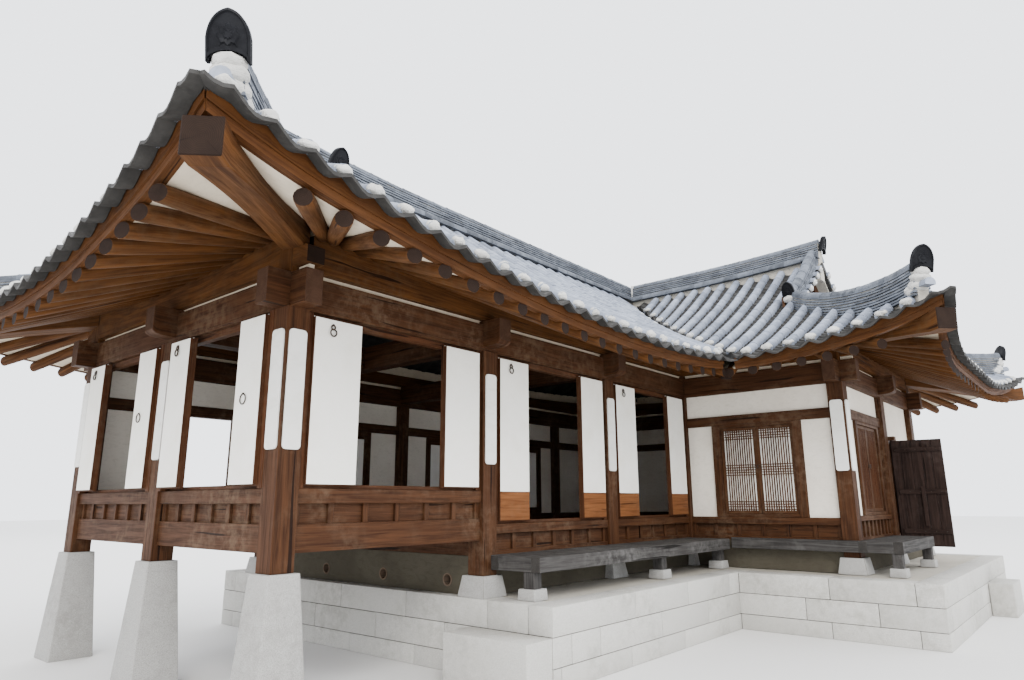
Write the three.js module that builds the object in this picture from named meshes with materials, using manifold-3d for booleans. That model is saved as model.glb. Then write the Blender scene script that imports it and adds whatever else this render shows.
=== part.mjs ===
// Hanok: a Korean timber house with an L-shaped plan, a raised floor room at its west end
// and a hip-and-gable tiled roof with upturned corners.
// Millimetres, +Z up. X runs east along the long front, Y runs north to the back.
// Plan coordinates below are measured from the axis of the south-west corner post.
import * as THREE from 'three';
import { mergeVertices } from 'three/addons/utils/BufferGeometryUtils.js';
import Module from 'manifold-3d';

const wasm = await Module();
wasm.setup();

// Driving dimensions
const SEAT = 0.3; // gap left between pieces that touch

// plan: post axes
const MAIN_X = [0, 2400, 4800, 7090];
const DEPTH = 4132;
const MIDDLE_Y = DEPTH / 2;
const WING_WEST = MAIN_X[3];
const WING_MIDDLE = WING_WEST + DEPTH / 2;
const EAST = WING_WEST + DEPTH;
const WING_SOUTH = -2357;
const POST_HALF = 105;
const PLAN_CENTRE = new THREE.Vector2(5611, 896.6);

// heights above the lowest ground
const PLATFORM_TOP = 724;
const PLINTH_TOP = 929;
const PILLAR_TOP = 1126;
const RAISED_BEAM_BOTTOM = 1272;
const RAISED_BEAM_TOP = 1495;
const RAISED_SILL_BOTTOM = 1656;
const RAISED_SILL_TOP = 1777;
const FLOOR_TOP = 1130;
const LOW_RAIL_BOTTOM = 1114;
const LOW_RAIL_TOP = 1169;
const LOW_SILL_BOTTOM = 1336;
const LOW_SILL_TOP = 1434;
const LINTEL_BOTTOM = 2780;
const LINTEL_TOP = 2923;
const HEADER_BOTTOM = 3261;
const HEADER_TOP = 3560;
const PURLIN_BOTTOM = 3610;
const BEAM_HEAD_BOTTOM = 3310;
const BEAM_HEAD_TOP = 3600;
const PORCH_TOP = 1132;
const PORCH_DEPTH = 146;

// stone platform
const PLATFORM_WEST = 2210;
const PLATFORM_SOUTH = -1044;
const PLATFORM_WING_WEST = 6375;
const PLATFORM_WING_SOUTH = -3458;
const PLATFORM_EAST = EAST + 715;
const PLATFORM_NORTH = DEPTH + 700;

// roof form
const EAVE_HEIGHT = 3420;
const OVERHANG = 1460;
const CORNER_REACH = 260;
const TIP = OVERHANG + CORNER_REACH;
const LONG_SWEEP = 5400;
const SHORT_SWEEP = 2600;
const CORNER_LIFT = 460;
const VALLEY_LIFT = 120;
const FADE_LENGTH = 2550;
const EAVE_THICKNESS = 85;
const BOARD_IN = 165;
const RAFTER_TOP_AT_EAVE = 3230;
const RAFTER_SLOPE = 0.5;
const RAFTER_RADIUS = 70;
const RAFTER_SPACING = 325;
const RAFTER_END = 120;
const RAFTER_CLEAR = 24;
const THICK_FROM = 1950;
const GABLE_INSET = 800;
const VERGE_HALF = 120;
const HIP_HALF = 95;
const RIDGE_HALF = 130;
const RIDGE_RISE = 340;
const HIP_RISE = 250;
const ROW_PITCH = 283; // from one row of cover tiles to the next
const ROW_CROWN = 60; // how far a row stands above the roof's surface
const ROW_HOLLOW = 50; // and how far the pans between two rows lie below it

// Materials
function material(colour, roughness) {
  return new THREE.MeshStandardMaterial({ color: colour, roughness, metalness: 0 });
}
const GRANITE = () => material(0xc9c7c1, 0.85);
const TIMBER = () => material(0x4a2a17, 0.65);
const OLD_TIMBER = () => material(0x5d564e, 0.8);
const PLASTER = () => material(0xe9e3d6, 0.9);
const PAPER = () => material(0xf1ece0, 0.9);
const TILE = () => material(0x5f666f, 0.7);
const RIDGE_TILE = () => material(0x4b5058, 0.7);

// Solids
function toManifold(geometry) {
  const bare = geometry.clone();
  bare.deleteAttribute('normal');
  bare.deleteAttribute('uv');
  const merged = mergeVertices(bare, 1e-3);
  return new wasm.Manifold(new wasm.Mesh({
    numProp: 3,
    vertProperties: new Float32Array(merged.attributes.position.array),
    triVerts: new Uint32Array(merged.index.array),
  }));
}

function toGeometry(solid) {
  const mesh = solid.getMesh();
  const geometry = new THREE.BufferGeometry();
  geometry.setAttribute('position', new THREE.BufferAttribute(new Float32Array(mesh.vertProperties), 3));
  geometry.setIndex(new THREE.BufferAttribute(new Uint32Array(mesh.triVerts), 1));
  return geometry;
}

function box(x0, x1, y0, y1, z0, z1) {
  const geometry = new THREE.BoxGeometry(x1 - x0, y1 - y0, z1 - z0);
  geometry.translate((x0 + x1) / 2, (y0 + y1) / 2, (z0 + z1) / 2);
  return toManifold(geometry);
}

function indexed(positions, triangles) {
  const geometry = new THREE.BufferGeometry();
  geometry.setAttribute('position', new THREE.Float32BufferAttribute(positions, 3));
  geometry.setIndex(triangles);
  return toManifold(geometry);
}

// turns every triangle round where the solid came out inside out
function facingOut(positions, triangles) {
  const solid = indexed(positions, triangles);
  if (solid.volume() > 0) {
    return solid;
  }
  const turned = [];
  for (let i = 0; i < triangles.length; i += 3) {
    turned.push(triangles[i], triangles[i + 2], triangles[i + 1]);
  }
  return indexed(positions, turned);
}

// a solid lofted through loops that all have the same number of points
function loft(loops) {
  const count = loops[0].length;
  const positions = loops.flat().flat();
  const triangles = [];
  for (let ring = 0; ring + 1 < loops.length; ring += 1) {
    for (let i = 0; i < count; i += 1) {
      const a = ring * count + i;
      const b = ring * count + (i + 1) % count;
      triangles.push(a, b, b + count, a, b + count, a + count);
    }
  }
  const last = (loops.length - 1) * count;
  for (let i = 1; i + 1 < count; i += 1) {
    triangles.push(0, i + 1, i, last, last + i, last + i + 1);
  }
  return facingOut(positions, triangles);
}

// a stone that tapers upwards
function taperedBlock(x, y, bottomHalf, topHalf, z0, z1) {
  const loop = (half, z) => [
    [x - half, y - half, z], [x + half, y - half, z], [x + half, y + half, z], [x - half, y + half, z],
  ];
  return loft([loop(bottomHalf, z0), loop(topHalf, z1)]);
}

// a round timber of few sides between two points, with its ends cut plumb
function roundTimber(start, end, radius) {
  const sides = 6;
  const along = new THREE.Vector2(end.x - start.x, end.y - start.y).normalize();
  const side = new THREE.Vector2(-along.y, along.x);
  const loop = (point) => Array.from({ length: sides }, (_, i) => {
    const angle = (2 * Math.PI * i) / sides;
    const across = radius * Math.cos(angle);
    return [point.x + side.x * across, point.y + side.y * across, point.z + radius * Math.sin(angle)];
  });
  return loft([loop(start), loop(end)]);
}

function union(solids) {
  return solids.reduce((sum, solid) => sum.add(solid));
}

function subtract(solid, cutters) {
  return cutters.reduce((rest, cutter) => rest.subtract(cutter), solid);
}

const house = new THREE.Group();
const plan = new THREE.Group();
plan.position.set(-PLAN_CENTRE.x, -PLAN_CENTRE.y, 0);
house.add(plan);

function place(name, solid, finish) {
  const mesh = new THREE.Mesh(toGeometry(solid), finish);
  mesh.name = name;
  plan.add(mesh);
}

// The roof as a height over the plan
function near(distance, reach) {
  return Math.max(0, Math.min(1, 1 - distance / reach)) ** 2;
}

function smooth(value, from, to) {
  const t = Math.max(0, Math.min(1, (value - from) / (to - from)));
  return t * t * (3 - 2 * t);
}

const SOUTH_TIP = WING_SOUTH - TIP;
const NORTH_TIP = DEPTH + TIP;
const EAST_TIP = EAST + TIP;
const WING_TIP = WING_WEST - TIP;
const VALLEY_END = WING_WEST - OVERHANG;
const WING_LIFT = CORNER_LIFT - VALLEY_LIFT;

// each side of the roof: how far out from its wall line a point lies, its place along the eave,
// and how much the corners there lift the eave and push it out
const SIDES = {
  front: {
    point: (u, out) => [u, -out],
    out: (x, y) => -y,
    along: (x) => x,
    lift: (u) => CORNER_LIFT * near(u + TIP, LONG_SWEEP) + VALLEY_LIFT * near(VALLEY_END - u, 2000),
    reach: (u) => near(u + TIP, LONG_SWEEP),
  },
  west: {
    point: (u, out) => [-out, u],
    out: (x) => -x,
    along: (x, y) => y,
    lift: (u) => CORNER_LIFT * (near(u + TIP, LONG_SWEEP) + near(NORTH_TIP - u, LONG_SWEEP)),
    reach: (u) => near(u + TIP, LONG_SWEEP) + near(NORTH_TIP - u, LONG_SWEEP),
  },
  north: {
    point: (u, out) => [u, DEPTH + out],
    out: (x, y) => y - DEPTH,
    along: (x) => x,
    lift: (u) => CORNER_LIFT * (near(u + TIP, LONG_SWEEP) + near(EAST_TIP - u, LONG_SWEEP)),
    reach: (u) => near(u + TIP, LONG_SWEEP) + near(EAST_TIP - u, LONG_SWEEP),
  },
  east: {
    point: (u, out) => [EAST + out, u],
    out: (x) => x - EAST,
    along: (x, y) => y,
    lift: (u) => CORNER_LIFT * near(NORTH_TIP - u, LONG_SWEEP) + WING_LIFT * near(u - SOUTH_TIP, SHORT_SWEEP)
      + VALLEY_LIFT * (1 - smooth(u - SOUTH_TIP, SHORT_SWEEP, 5000)),
    reach: (u) => near(NORTH_TIP - u, LONG_SWEEP) + near(u - SOUTH_TIP, SHORT_SWEEP),
  },
  south: {
    point: (u, out) => [u, WING_SOUTH - out],
    out: (x, y) => WING_SOUTH - y,
    along: (x) => x,
    lift: (u) => VALLEY_LIFT + WING_LIFT * (near(u - WING_TIP, SHORT_SWEEP) + near(EAST_TIP - u, SHORT_SWEEP)),
    reach: (u) => near(u - WING_TIP, SHORT_SWEEP) + near(EAST_TIP - u, SHORT_SWEEP),
  },
  inner: {
    point: (u, out) => [WING_WEST - out, u],
    out: (x) => WING_WEST - x,
    along: (x, y) => y,
    lift: (u) => VALLEY_LIFT + WING_LIFT * near(u - SOUTH_TIP, SHORT_SWEEP),
    reach: (u) => near(u - SOUTH_TIP, SHORT_SWEEP),
  },
};

function overhang(side, u) {
  return OVERHANG + CORNER_REACH * side.reach(u);
}

// distance up the slope from the eave, in plan
function upSlope(side, x, y) {
  return overhang(side, side.along(x, y)) - side.out(x, y);
}

function liftAt(side, x, y) {
  const fade = Math.max(0, 1 - Math.max(0, upSlope(side, x, y)) / FADE_LENGTH);
  return side.lift(side.along(x, y)) * fade;
}

function tileProfile(s) {
  return EAVE_HEIGHT + 0.489 * s + 4.46e-5 * s * s;
}

function tileTop(side, x, y) {
  return tileProfile(upSlope(side, x, y)) + liftAt(side, x, y);
}

function rafterTop(side, x, y) {
  return RAFTER_TOP_AT_EAVE + RAFTER_SLOPE * upSlope(side, x, y) + liftAt(side, x, y);
}

// underside of the tiled slope: thin over the eave board, then resting on the rafters
function slopeUnderside(side, x, y, outsideBoard) {
  const s = upSlope(side, x, y);
  if (outsideBoard) {
    return tileTop(side, x, y) - EAVE_THICKNESS;
  }
  if (s <= THICK_FROM) {
    return rafterTop(side, x, y) + RAFTER_CLEAR;
  }
  const thick = tileProfile(THICK_FROM) - RAFTER_TOP_AT_EAVE - RAFTER_SLOPE * THICK_FROM - RAFTER_CLEAR;
  return tileTop(side, x, y) - thick;
}

// the clear distance, along the eave, that a ridge on a diagonal needs beside it
const HIP_CLEAR = HIP_HALF * Math.SQRT2 + SEAT;
const BOARD_CLEAR = 115 * Math.SQRT2 + SEAT;
const RIDGE_CLEAR = RIDGE_HALF + SEAT;
const VERGE_LINE = GABLE_INSET + 20;
const VERGE_INNER = VERGE_LINE + SEAT;
const RIDGE_OUT = RIDGE_CLEAR - DEPTH / 2;
const FOOT_OUT = HIP_CLEAR - VERGE_INNER;

// where a row of each slope begins and ends along the eave, at a distance out from the wall line
const LIMITS = {
  front: (out, clear) => [Math.min(-out + clear, VERGE_INNER), WING_WEST - out - SEAT],
  west: (out, clear) => [-out + clear, DEPTH + out - clear],
  north: (out, clear) => [Math.min(-out + clear, VERGE_INNER), EAST + out - clear],
  east: (out, clear) => [WING_SOUTH + Math.min(-out + clear, VERGE_INNER), DEPTH + out - clear],
  south: (out, clear) => [WING_WEST - out + clear, EAST + out - clear],
  inner: (out, clear) => [WING_SOUTH + Math.min(-out + clear, VERGE_INNER), -out - SEAT],
};

// the point at a share of a row that keeps one distance from the curved eave
function eavePoint(name, share, inset, clear) {
  const side = SIDES[name];
  let out = TIP - inset;
  let u = 0;
  for (let pass = 0; pass < 8; pass += 1) {
    const [low, high] = LIMITS[name](out, clear);
    u = low + (high - low) * share;
    out = overhang(side, u) - inset;
  }
  return side.point(u, out);
}

function shares(count) {
  return Array.from({ length: count + 1 }, (_, i) => i / count);
}

const LOWER_LEVELS = [1050, 420, -200];
const HIGH_LEVELS = [...LOWER_LEVELS, FOOT_OUT, -1300, RIDGE_OUT];
const END_LEVELS = [...LOWER_LEVELS, -VERGE_LINE];
const END_SLOPES = ['west', 'south'];
const COLUMNS = { front: 14, west: 10, north: 12, east: 10, south: 10, inner: 8 };

// one slope as a closed shell over a grid of rows: two rows follow the curved eave
// and carry the thin edge over the eave board, and the rest keep one distance from the wall.
// its top lies at a height over the roof's surface
function slopeBlock(name, over) {
  const side = SIDES[name];
  const levels = END_SLOPES.includes(name) ? END_LEVELS : HIGH_LEVELS;
  const columns = COLUMNS[name];
  const heights = ([x, y], overBoard) => [
    x, y, tileTop(side, x, y) + over, slopeUnderside(side, x, y, overBoard),
  ];
  const edgeRow = (inset, overBoard) => shares(columns).map(
    (share) => heights(eavePoint(name, share, inset, HIP_CLEAR), overBoard),
  );
  const levelRow = (out) => shares(columns).map((share) => {
    const [low, high] = LIMITS[name](out, HIP_CLEAR);
    return heights(side.point(low + (high - low) * share, out), false);
  });
  const edge = [edgeRow(0, true), edgeRow(BOARD_IN, true), edgeRow(BOARD_IN + 4, false)];
  return shell([...edge, ...levels.map(levelRow)]);
}

function shell(rows) {
  const width = rows[0].length;
  const top = [];
  const bottom = [];
  rows.forEach((row) => row.forEach(([x, y, high, low]) => {
    top.push(x, y, high);
    bottom.push(x, y, low);
  }));
  const half = rows.length * width;
  const triangles = [];
  const quad = (a, b, c, d) => triangles.push(a, b, c, a, c, d);
  for (let r = 0; r + 1 < rows.length; r += 1) {
    for (let c = 0; c + 1 < width; c += 1) {
      const a = r * width + c;
      quad(a, a + 1, a + width + 1, a + width);
      quad(half + a, half + a + width, half + a + width + 1, half + a + 1);
    }
  }
  for (let r = 0; r + 1 < rows.length; r += 1) {
    const left = r * width;
    const right = left + width - 1;
    quad(left, left + width, half + left + width, half + left);
    quad(right, half + right, half + right + width, right + width);
  }
  for (let c = 0; c + 1 < width; c += 1) {
    const far = (rows.length - 1) * width + c;
    quad(c, half + c, half + c + 1, c + 1);
    quad(far, far + 1, half + far + 1, half + far);
  }
  return facingOut([...top, ...bottom], triangles);
}

// where the rows of cover tiles begin and end along each eave
const ROW_RUNS = {
  front: [-TIP, WING_WEST + 1930],
  west: [-TIP, NORTH_TIP],
  north: [-TIP, EAST_TIP],
  east: [SOUTH_TIP, NORTH_TIP],
  south: [WING_TIP, EAST_TIP],
  inner: [SOUTH_TIP, 1930],
};

// a slope with its rows of tiles: a crown on every row of cover tiles and a hollow between two rows
function tiledSlope(name) {
  const side = SIDES[name];
  const [from, to] = ROW_RUNS[name];
  const lines = shares(2 * Math.round((to - from) / ROW_PITCH));
  const outs = END_SLOPES.includes(name) ? [1950, 800, -200, -VERGE_LINE] : [1950, 800, -200, -1100, -2100];
  const rows = outs.map((out) => lines.map((share, i) => {
    const [x, y] = side.point(from + (to - from) * share, out);
    const surface = tileTop(side, x, y);
    return [x, y, surface + (i % 2 === 0 ? ROW_CROWN : -ROW_HOLLOW), RAFTER_TOP_AT_EAVE - 300];
  }));
  return slopeBlock(name, 300).intersect(shell(rows));
}

// the room that each slope takes, for the ridges and gables to be cut by
const slopeRoom = Object.fromEntries(
  Object.keys(SIDES).map((name) => [name, slopeBlock(name, ROW_CROWN + 5)]),
);

// Ridges
// a ridge of laid tiles: sections with plumb sides and a rounded crown along a line in plan
function ridge(stations, half) {
  const loops = stations.map(({ x, y, nx, ny, bottom, top }) => {
    const at = (across, z) => [x + nx * across, y + ny * across, z];
    const crown = Math.min(70, (top - bottom) / 3);
    return [
      at(-half, bottom), at(half, bottom), at(half * 0.8, top - crown), at(half * 0.45, top),
      at(-half * 0.45, top), at(-half * 0.8, top - crown),
    ];
  });
  return loft(loops);
}

// the rounded end tile that stands at the foot of a ridge, leaning outwards
function endTile(x, y, dirX, dirY, base, width, height, lean) {
  const outline = new THREE.Shape();
  outline.moveTo(-width / 2, 0);
  outline.lineTo(width / 2, 0);
  outline.lineTo(width / 2, height * 0.45);
  outline.quadraticCurveTo(width * 0.42, height * 0.92, 0, height);
  outline.quadraticCurveTo(-width * 0.42, height * 0.92, -width / 2, height * 0.45);
  outline.closePath();
  const geometry = new THREE.ExtrudeGeometry(outline, { depth: 45, bevelEnabled: false, curveSegments: 4 });
  geometry.rotateX(Math.PI / 2 - lean);
  geometry.rotateZ(Math.atan2(dirY, dirX) + Math.PI / 2);
  geometry.translate(x, y, base);
  return toManifold(geometry);
}

// the two halves of the roof: each has a gable end, a ridge and a slope on either side.
// a runs in from the gable end's wall line, b runs across from the side wall line.
const HALVES = {
  main: { at: (a, b) => [a, b], end: 'west', low: 'front', high: 'north' },
  wing: { at: (a, b) => [WING_WEST + b, WING_SOUTH + a], end: 'south', low: 'inner', high: 'east' },
};

function station(half, a, b, na, nb, bottom, top) {
  const [x, y] = half.at(a, b);
  const [x1, y1] = half.at(a + na, b + nb);
  return { x, y, nx: x1 - x, ny: y1 - y, bottom, top };
}

// height of the roof surface near a gable end, on the slope at side b
function sideTop(half, a, b) {
  const [x, y] = half.at(a, b);
  return tileTop(SIDES[b < DEPTH / 2 ? half.low : half.high], x, y);
}

function sideUnder(half, a, b) {
  const [x, y] = half.at(a, b);
  return slopeUnderside(SIDES[b < DEPTH / 2 ? half.low : half.high], x, y, false);
}

function endTop(half, a, b) {
  const [x, y] = half.at(a, b);
  return tileTop(SIDES[half.end], x, y);
}

function crest(half, a) {
  return sideTop(half, a, DEPTH / 2 - 1);
}

// the main ridge stations: it rises towards the gable
function topRidge(half, to) {
  const count = 9;
  const from = GABLE_INSET - VERGE_HALF * 2 + 20;
  return ridge(shares(count).map((share) => {
    const a = from + (to - from) * share;
    const swept = 90 * near(a - from, 2600);
    return station(half, a, DEPTH / 2, 0, 1, crest(half, a) - 380, crest(half, a) + RIDGE_RISE + swept);
  }), RIDGE_HALF);
}

// the ridge that comes down the gable's edge on one side
function vergeRidge(half, highSide) {
  const mirror = (b) => (highSide ? DEPTH - b : b);
  const a = VERGE_LINE - VERGE_HALF;
  const places = [600, 760, 1000, 1300, 1620, DEPTH / 2 - RIDGE_HALF + 20];
  const stations = places.map((b) => {
    const edgeTop = endTop(half, VERGE_LINE, mirror(b));
    const side = sideUnder(half, VERGE_INNER, mirror(b));
    const top = sideTop(half, a, mirror(b)) + HIP_RISE + 60 * smooth(b, 900, 1900);
    return station(half, a, mirror(b), 1, 0, Math.max(edgeTop + 18, side), top);
  });
  const foot = sideTop(half, a, mirror(600)) + 130;
  const [x, y] = half.at(a, mirror(600));
  const [x1, y1] = half.at(a, mirror(500));
  const tile = endTile(x, y, x1 - x, y1 - y, foot, 190, 260, 0.35);
  return union([ridge(stations, VERGE_HALF), tile]);
}

const HIP_FROM = -1420;
const HIP_SWEEP = 240; // how much higher a hip's ridge is at its end tile
const HIP_TO = 680;

// the ridge down one corner of the roof, along its diagonal. corner and inward are in plan.
function hipRidge(name, corner, inward, to) {
  const from = HIP_FROM;
  const side = SIDES[name];
  const count = 7;
  const normal = { nx: -inward[1] * Math.SQRT1_2, ny: inward[0] * Math.SQRT1_2 };
  const at = (t) => [corner[0] + inward[0] * t, corner[1] + inward[1] * t];
  const stations = shares(count).map((share) => {
    const t = from + (to - from) * share;
    const [x, y] = at(t);
    const rise = HIP_RISE + HIP_SWEEP * Math.max(0, 1 - (t - from) / 2100);
    return { x, y, ...normal, bottom: tileTop(side, x, y) - EAVE_THICKNESS, top: tileTop(side, x, y) + rise };
  });
  const [x, y] = at(from);
  const tile = endTile(x, y, -inward[0], -inward[1], tileTop(side, x, y) + 340, 260, 330, 0.27);
  return union([ridge(stations, HIP_HALF), tile]);
}

// the space that the ridge at a gable's edge takes, for the hip ridge to be cut by
function vergeSpace(half) {
  const [xa, ya] = half.at(VERGE_LINE - 2 * VERGE_HALF - SEAT, 550);
  const [xb, yb] = half.at(VERGE_INNER, 1500);
  return box(Math.min(xa, xb), Math.max(xa, xb), Math.min(ya, yb), Math.max(ya, yb), 3000, 7000);
}

// Rafters, with the purlin under them and the board on their ends
const RAFTER_DROP = RAFTER_RADIUS * Math.cos(Math.PI / 6);
const PURLIN_HALF = 100;

function purlinTop(side, u) {
  const [x, y] = side.point(u, PURLIN_HALF);
  return rafterTop(side, x, y) - 2 * RAFTER_DROP - 8;
}

function purlin(name, u0, u1) {
  const side = SIDES[name];
  return loft(shares(5).map((share) => {
    const u = u0 + (u1 - u0) * share;
    const top = purlinTop(side, u) + 10;
    const at = (out, z) => [...side.point(u, out), z];
    return [
      at(-PURLIN_HALF, PURLIN_BOTTOM + SEAT), at(PURLIN_HALF, PURLIN_BOTTOM + SEAT),
      at(PURLIN_HALF, top), at(-PURLIN_HALF, top),
    ];
  }));
}

// where a rafter whose outer end is at distance d from the corner's wall line crosses that line
function fanFoot(d) {
  if (d > 1900) {
    return d;
  }
  return 260 + 1640 * ((d + 1150) / 3050) ** 1.5;
}

// a rafter rests on the purlin's outer edge and is lowered at its outer end until it clears the tiles
function rafter(side, outer, inner, seatU) {
  const limit = (x, y) => rafterTop(side, x, y) - RAFTER_DROP - 3;
  const [ox, oy] = outer;
  const [ix, iy] = inner;
  const outerOut = side.out(ox, oy);
  const seatShare = (outerOut - PURLIN_HALF) / (outerOut - side.out(ix, iy));
  const seatZ = purlinTop(side, seatU) + RAFTER_DROP;
  let endZ = limit(ox, oy);
  const heightAt = (share) => endZ + (seatZ - endZ) * (share / seatShare);
  for (let pass = 0; pass < 3; pass += 1) {
    shares(6).slice(0, 5).forEach((part) => {
      const share = part * seatShare;
      const excess = heightAt(share) - limit(ox + (ix - ox) * share, oy + (iy - oy) * share);
      endZ -= Math.max(0, excess) / (1 - part);
    });
  }
  return roundTimber({ x: ox, y: oy, z: endZ }, { x: ix, y: iy, z: heightAt(1) }, RAFTER_RADIUS);
}

// the board that stands on the rafters' ends under the tiles
function eaveBoard(name, columns) {
  const side = SIDES[name];
  const loops = shares(columns).map((share) => {
    const outer = eavePoint(name, share, 70, BOARD_CLEAR);
    const inner = eavePoint(name, share, BOARD_IN - 1, BOARD_CLEAR);
    const low = ([x, y]) => rafterTop(side, x, y) - 50;
    const high = ([x, y]) => tileTop(side, x, y) - EAVE_THICKNESS - 14;
    return [[...outer, low(outer)], [...inner, low(inner)], [...inner, high(inner)], [...outer, high(outer)]];
  });
  return loft(loops);
}

// the rafters of one side. They fan out beside a corner that juts out,
// and beside the valley they grow shorter and end reach from its diagonal.
function rafterRow(name, start, end, valleyReach) {
  const side = SIDES[name];
  const length = end - start;
  const toValley = valleyReach !== undefined;
  const last = toValley ? length - 460 : length + 950;
  const count = Math.round((last + 950) / RAFTER_SPACING);
  return shares(count).map((share) => {
    const d = -950 + (last + 950) * share;
    const u = start + d;
    let foot = d;
    let out = overhang(side, u) - RAFTER_END;
    if (d < length / 2) {
      foot = fanFoot(d);
    } else if (toValley) {
      out = Math.min(out, length - d - valleyReach);
    } else {
      foot = length - fanFoot(length - d);
    }
    return rafter(side, side.point(u, out), side.point(start + foot, -20), start + foot);
  });
}

// Walls are described by their side: u runs along the wall line, out is the distance outwards from it
function sideBox(name, u0, u1, out0, out1, z0, z1) {
  const [xa, ya] = SIDES[name].point(u0, out0);
  const [xb, yb] = SIDES[name].point(u1, out1);
  return box(Math.min(xa, xb), Math.max(xa, xb), Math.min(ya, yb), Math.max(ya, yb), z0, z1);
}

function post(name, u, z0) {
  return sideBox(name, u - POST_HALF, u + POST_HALF, -POST_HALF, POST_HALF, z0, HEADER_BOTTOM + 5);
}

// the beam under the eaves: a header and a thin strip over it that carries the purlin
function header(name, u0, u1) {
  return union([
    sideBox(name, u0, u1, -85, 85, HEADER_BOTTOM, HEADER_TOP),
    sideBox(name, u0, u1, -25, 25, HEADER_TOP - 5, PURLIN_BOTTOM),
  ]);
}

// a crossbeam over a post: its end shows outside and it runs in to a given depth
function crossbeam(name, u, inner) {
  return sideBox(name, u - 95, u + 95, -inner, 320, BEAM_HEAD_BOTTOM, BEAM_HEAD_TOP);
}

// the stub of a header that runs on past a corner post
function headerStub(name, u, out0, out1) {
  return sideBox(name, u - 85, u + 85, out0, out1, HEADER_BOTTOM, HEADER_TOP);
}

// a panelled sill wall of one bay: two rails, upright stiles and thin panels between them
function sillWall(name, u0, u1, [railBottom, railTop, sillBottom, sillTop], panels) {
  const stiles = shares(panels).map((share) => {
    const u = u0 + (u1 - u0) * share;
    const half = share === 0 || share === 1 ? 62 : 28;
    return sideBox(name, Math.max(u0, u - half), Math.min(u1, u + half), -40, 40, railTop - 5, sillBottom + 5);
  });
  return union([
    sideBox(name, u0, u1, -60, 60, railBottom, railTop),
    sideBox(name, u0, u1, -75, 75, sillBottom, sillTop),
    sideBox(name, u0, u1, -12, 12, railTop - 5, sillBottom + 5),
    ...stiles,
  ]);
}

function raisedSill(name, u0, u1, panels = 6) {
  const heights = [RAISED_BEAM_BOTTOM, RAISED_BEAM_TOP, RAISED_SILL_BOTTOM, RAISED_SILL_TOP];
  return sillWall(name, u0, u1, heights, panels);
}

function lowSill(name, u0, u1) {
  return sillWall(name, u0, u1, [LOW_RAIL_BOTTOM, LOW_RAIL_TOP, LOW_SILL_BOTTOM, LOW_SILL_TOP], 6);
}

// Stone: the platform, the steps, the tall pillars under the raised room and the low plinths

const PLATFORM = union([
  box(PLATFORM_WEST, PLATFORM_EAST, PLATFORM_SOUTH, PLATFORM_NORTH, 0, PLATFORM_TOP),
  box(PLATFORM_WING_WEST, PLATFORM_EAST, PLATFORM_WING_SOUTH, PLATFORM_SOUTH + 5, 0, PLATFORM_TOP),
]);
const STEP_TOP = 460;

place('stone_platform', PLATFORM, GRANITE());
const westStep = box(PLATFORM_WEST - 375, PLATFORM_WEST - SEAT, PLATFORM_SOUTH, 0, 0, STEP_TOP);
const doorStep = box(9700, 10600, PLATFORM_WING_SOUTH - 320, PLATFORM_WING_SOUTH - SEAT, 0, STEP_TOP);
place('west_stone_step', westStep, GRANITE());
place('door_stone_step', doorStep, GRANITE());

const PILLARS = [['front_stone_pillar', 0], ['middle_stone_pillar', MIDDLE_Y], ['rear_stone_pillar', DEPTH]];
PILLARS.forEach(([name, y]) => place(name, taperedBlock(0, y, 226, 144, 0, PILLAR_TOP), GRANITE()));

// the foundation: plinths under the low posts and the plastered wall between them,
// with round air vents in the wall that faces the raised room
const PLINTH_BOTTOM_HALF = 180;
const PLINTH_TOP_HALF = 146;
const FOUNDATION_HALF = 55;
const PLINTHS = [
  [2400, 0], [4800, 0], [WING_WEST, 0], [WING_WEST, WING_SOUTH], [WING_MIDDLE, WING_SOUTH],
  [EAST, WING_SOUTH], [EAST, 0], [EAST, MIDDLE_Y], [EAST, DEPTH], [WING_MIDDLE, DEPTH],
  [WING_WEST, DEPTH], [4800, DEPTH], [2400, DEPTH],
];
const VENTS = [450, 1500, 2600];

function foundationRun(x0, y0, x1, y1) {
  const h = FOUNDATION_HALF;
  return box(Math.min(x0, x1) - h, Math.max(x0, x1) + h, Math.min(y0, y1) - h, Math.max(y0, y1) + h,
    PLATFORM_TOP + SEAT, LOW_RAIL_BOTTOM - SEAT);
}

const corners = [
  [2400, 0], [WING_WEST, 0], [WING_WEST, WING_SOUTH], [EAST, WING_SOUTH], [EAST, DEPTH], [2400, DEPTH],
];
const runs = corners.map(([x, y], i) => foundationRun(x, y, ...corners[(i + 1) % corners.length]));
const plinths = PLINTHS.map(([x, y]) => taperedBlock(
  x, y, PLINTH_BOTTOM_HALF, PLINTH_TOP_HALF, PLATFORM_TOP + SEAT, PLINTH_TOP,
));
const vents = VENTS.map((y) => roundTimber({ x: 2200, y, z: 862 }, { x: 2600, y, z: 862 }, 62));
const postFeet = PLINTHS.map(([x, y]) => box(
  x - POST_HALF - SEAT, x + POST_HALF + SEAT, y - POST_HALF - SEAT, y + POST_HALF + SEAT, PLINTH_TOP, 2000,
));
const THRESHOLD_TOP = 1140;
const THRESHOLD_BOTTOM = 1045;
const underThreshold = box(WING_MIDDLE, EAST, WING_SOUTH - 80, WING_SOUTH + 55, THRESHOLD_BOTTOM - SEAT, 2000);
const foundation = union([...runs, ...plinths]);
place('foundation_wall', subtract(foundation, [...vents, ...postFeet, underThreshold]), PLASTER());

// Timber frames, one for each side that shows: posts joined by rails and headers
const LOW_POST_FOOT = PLINTH_TOP + SEAT;
const HIGH_POST_FOOT = PILLAR_TOP + SEAT;
const FACE = POST_HALF + SEAT;
const HEADER_RUN_ON = 300;

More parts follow.
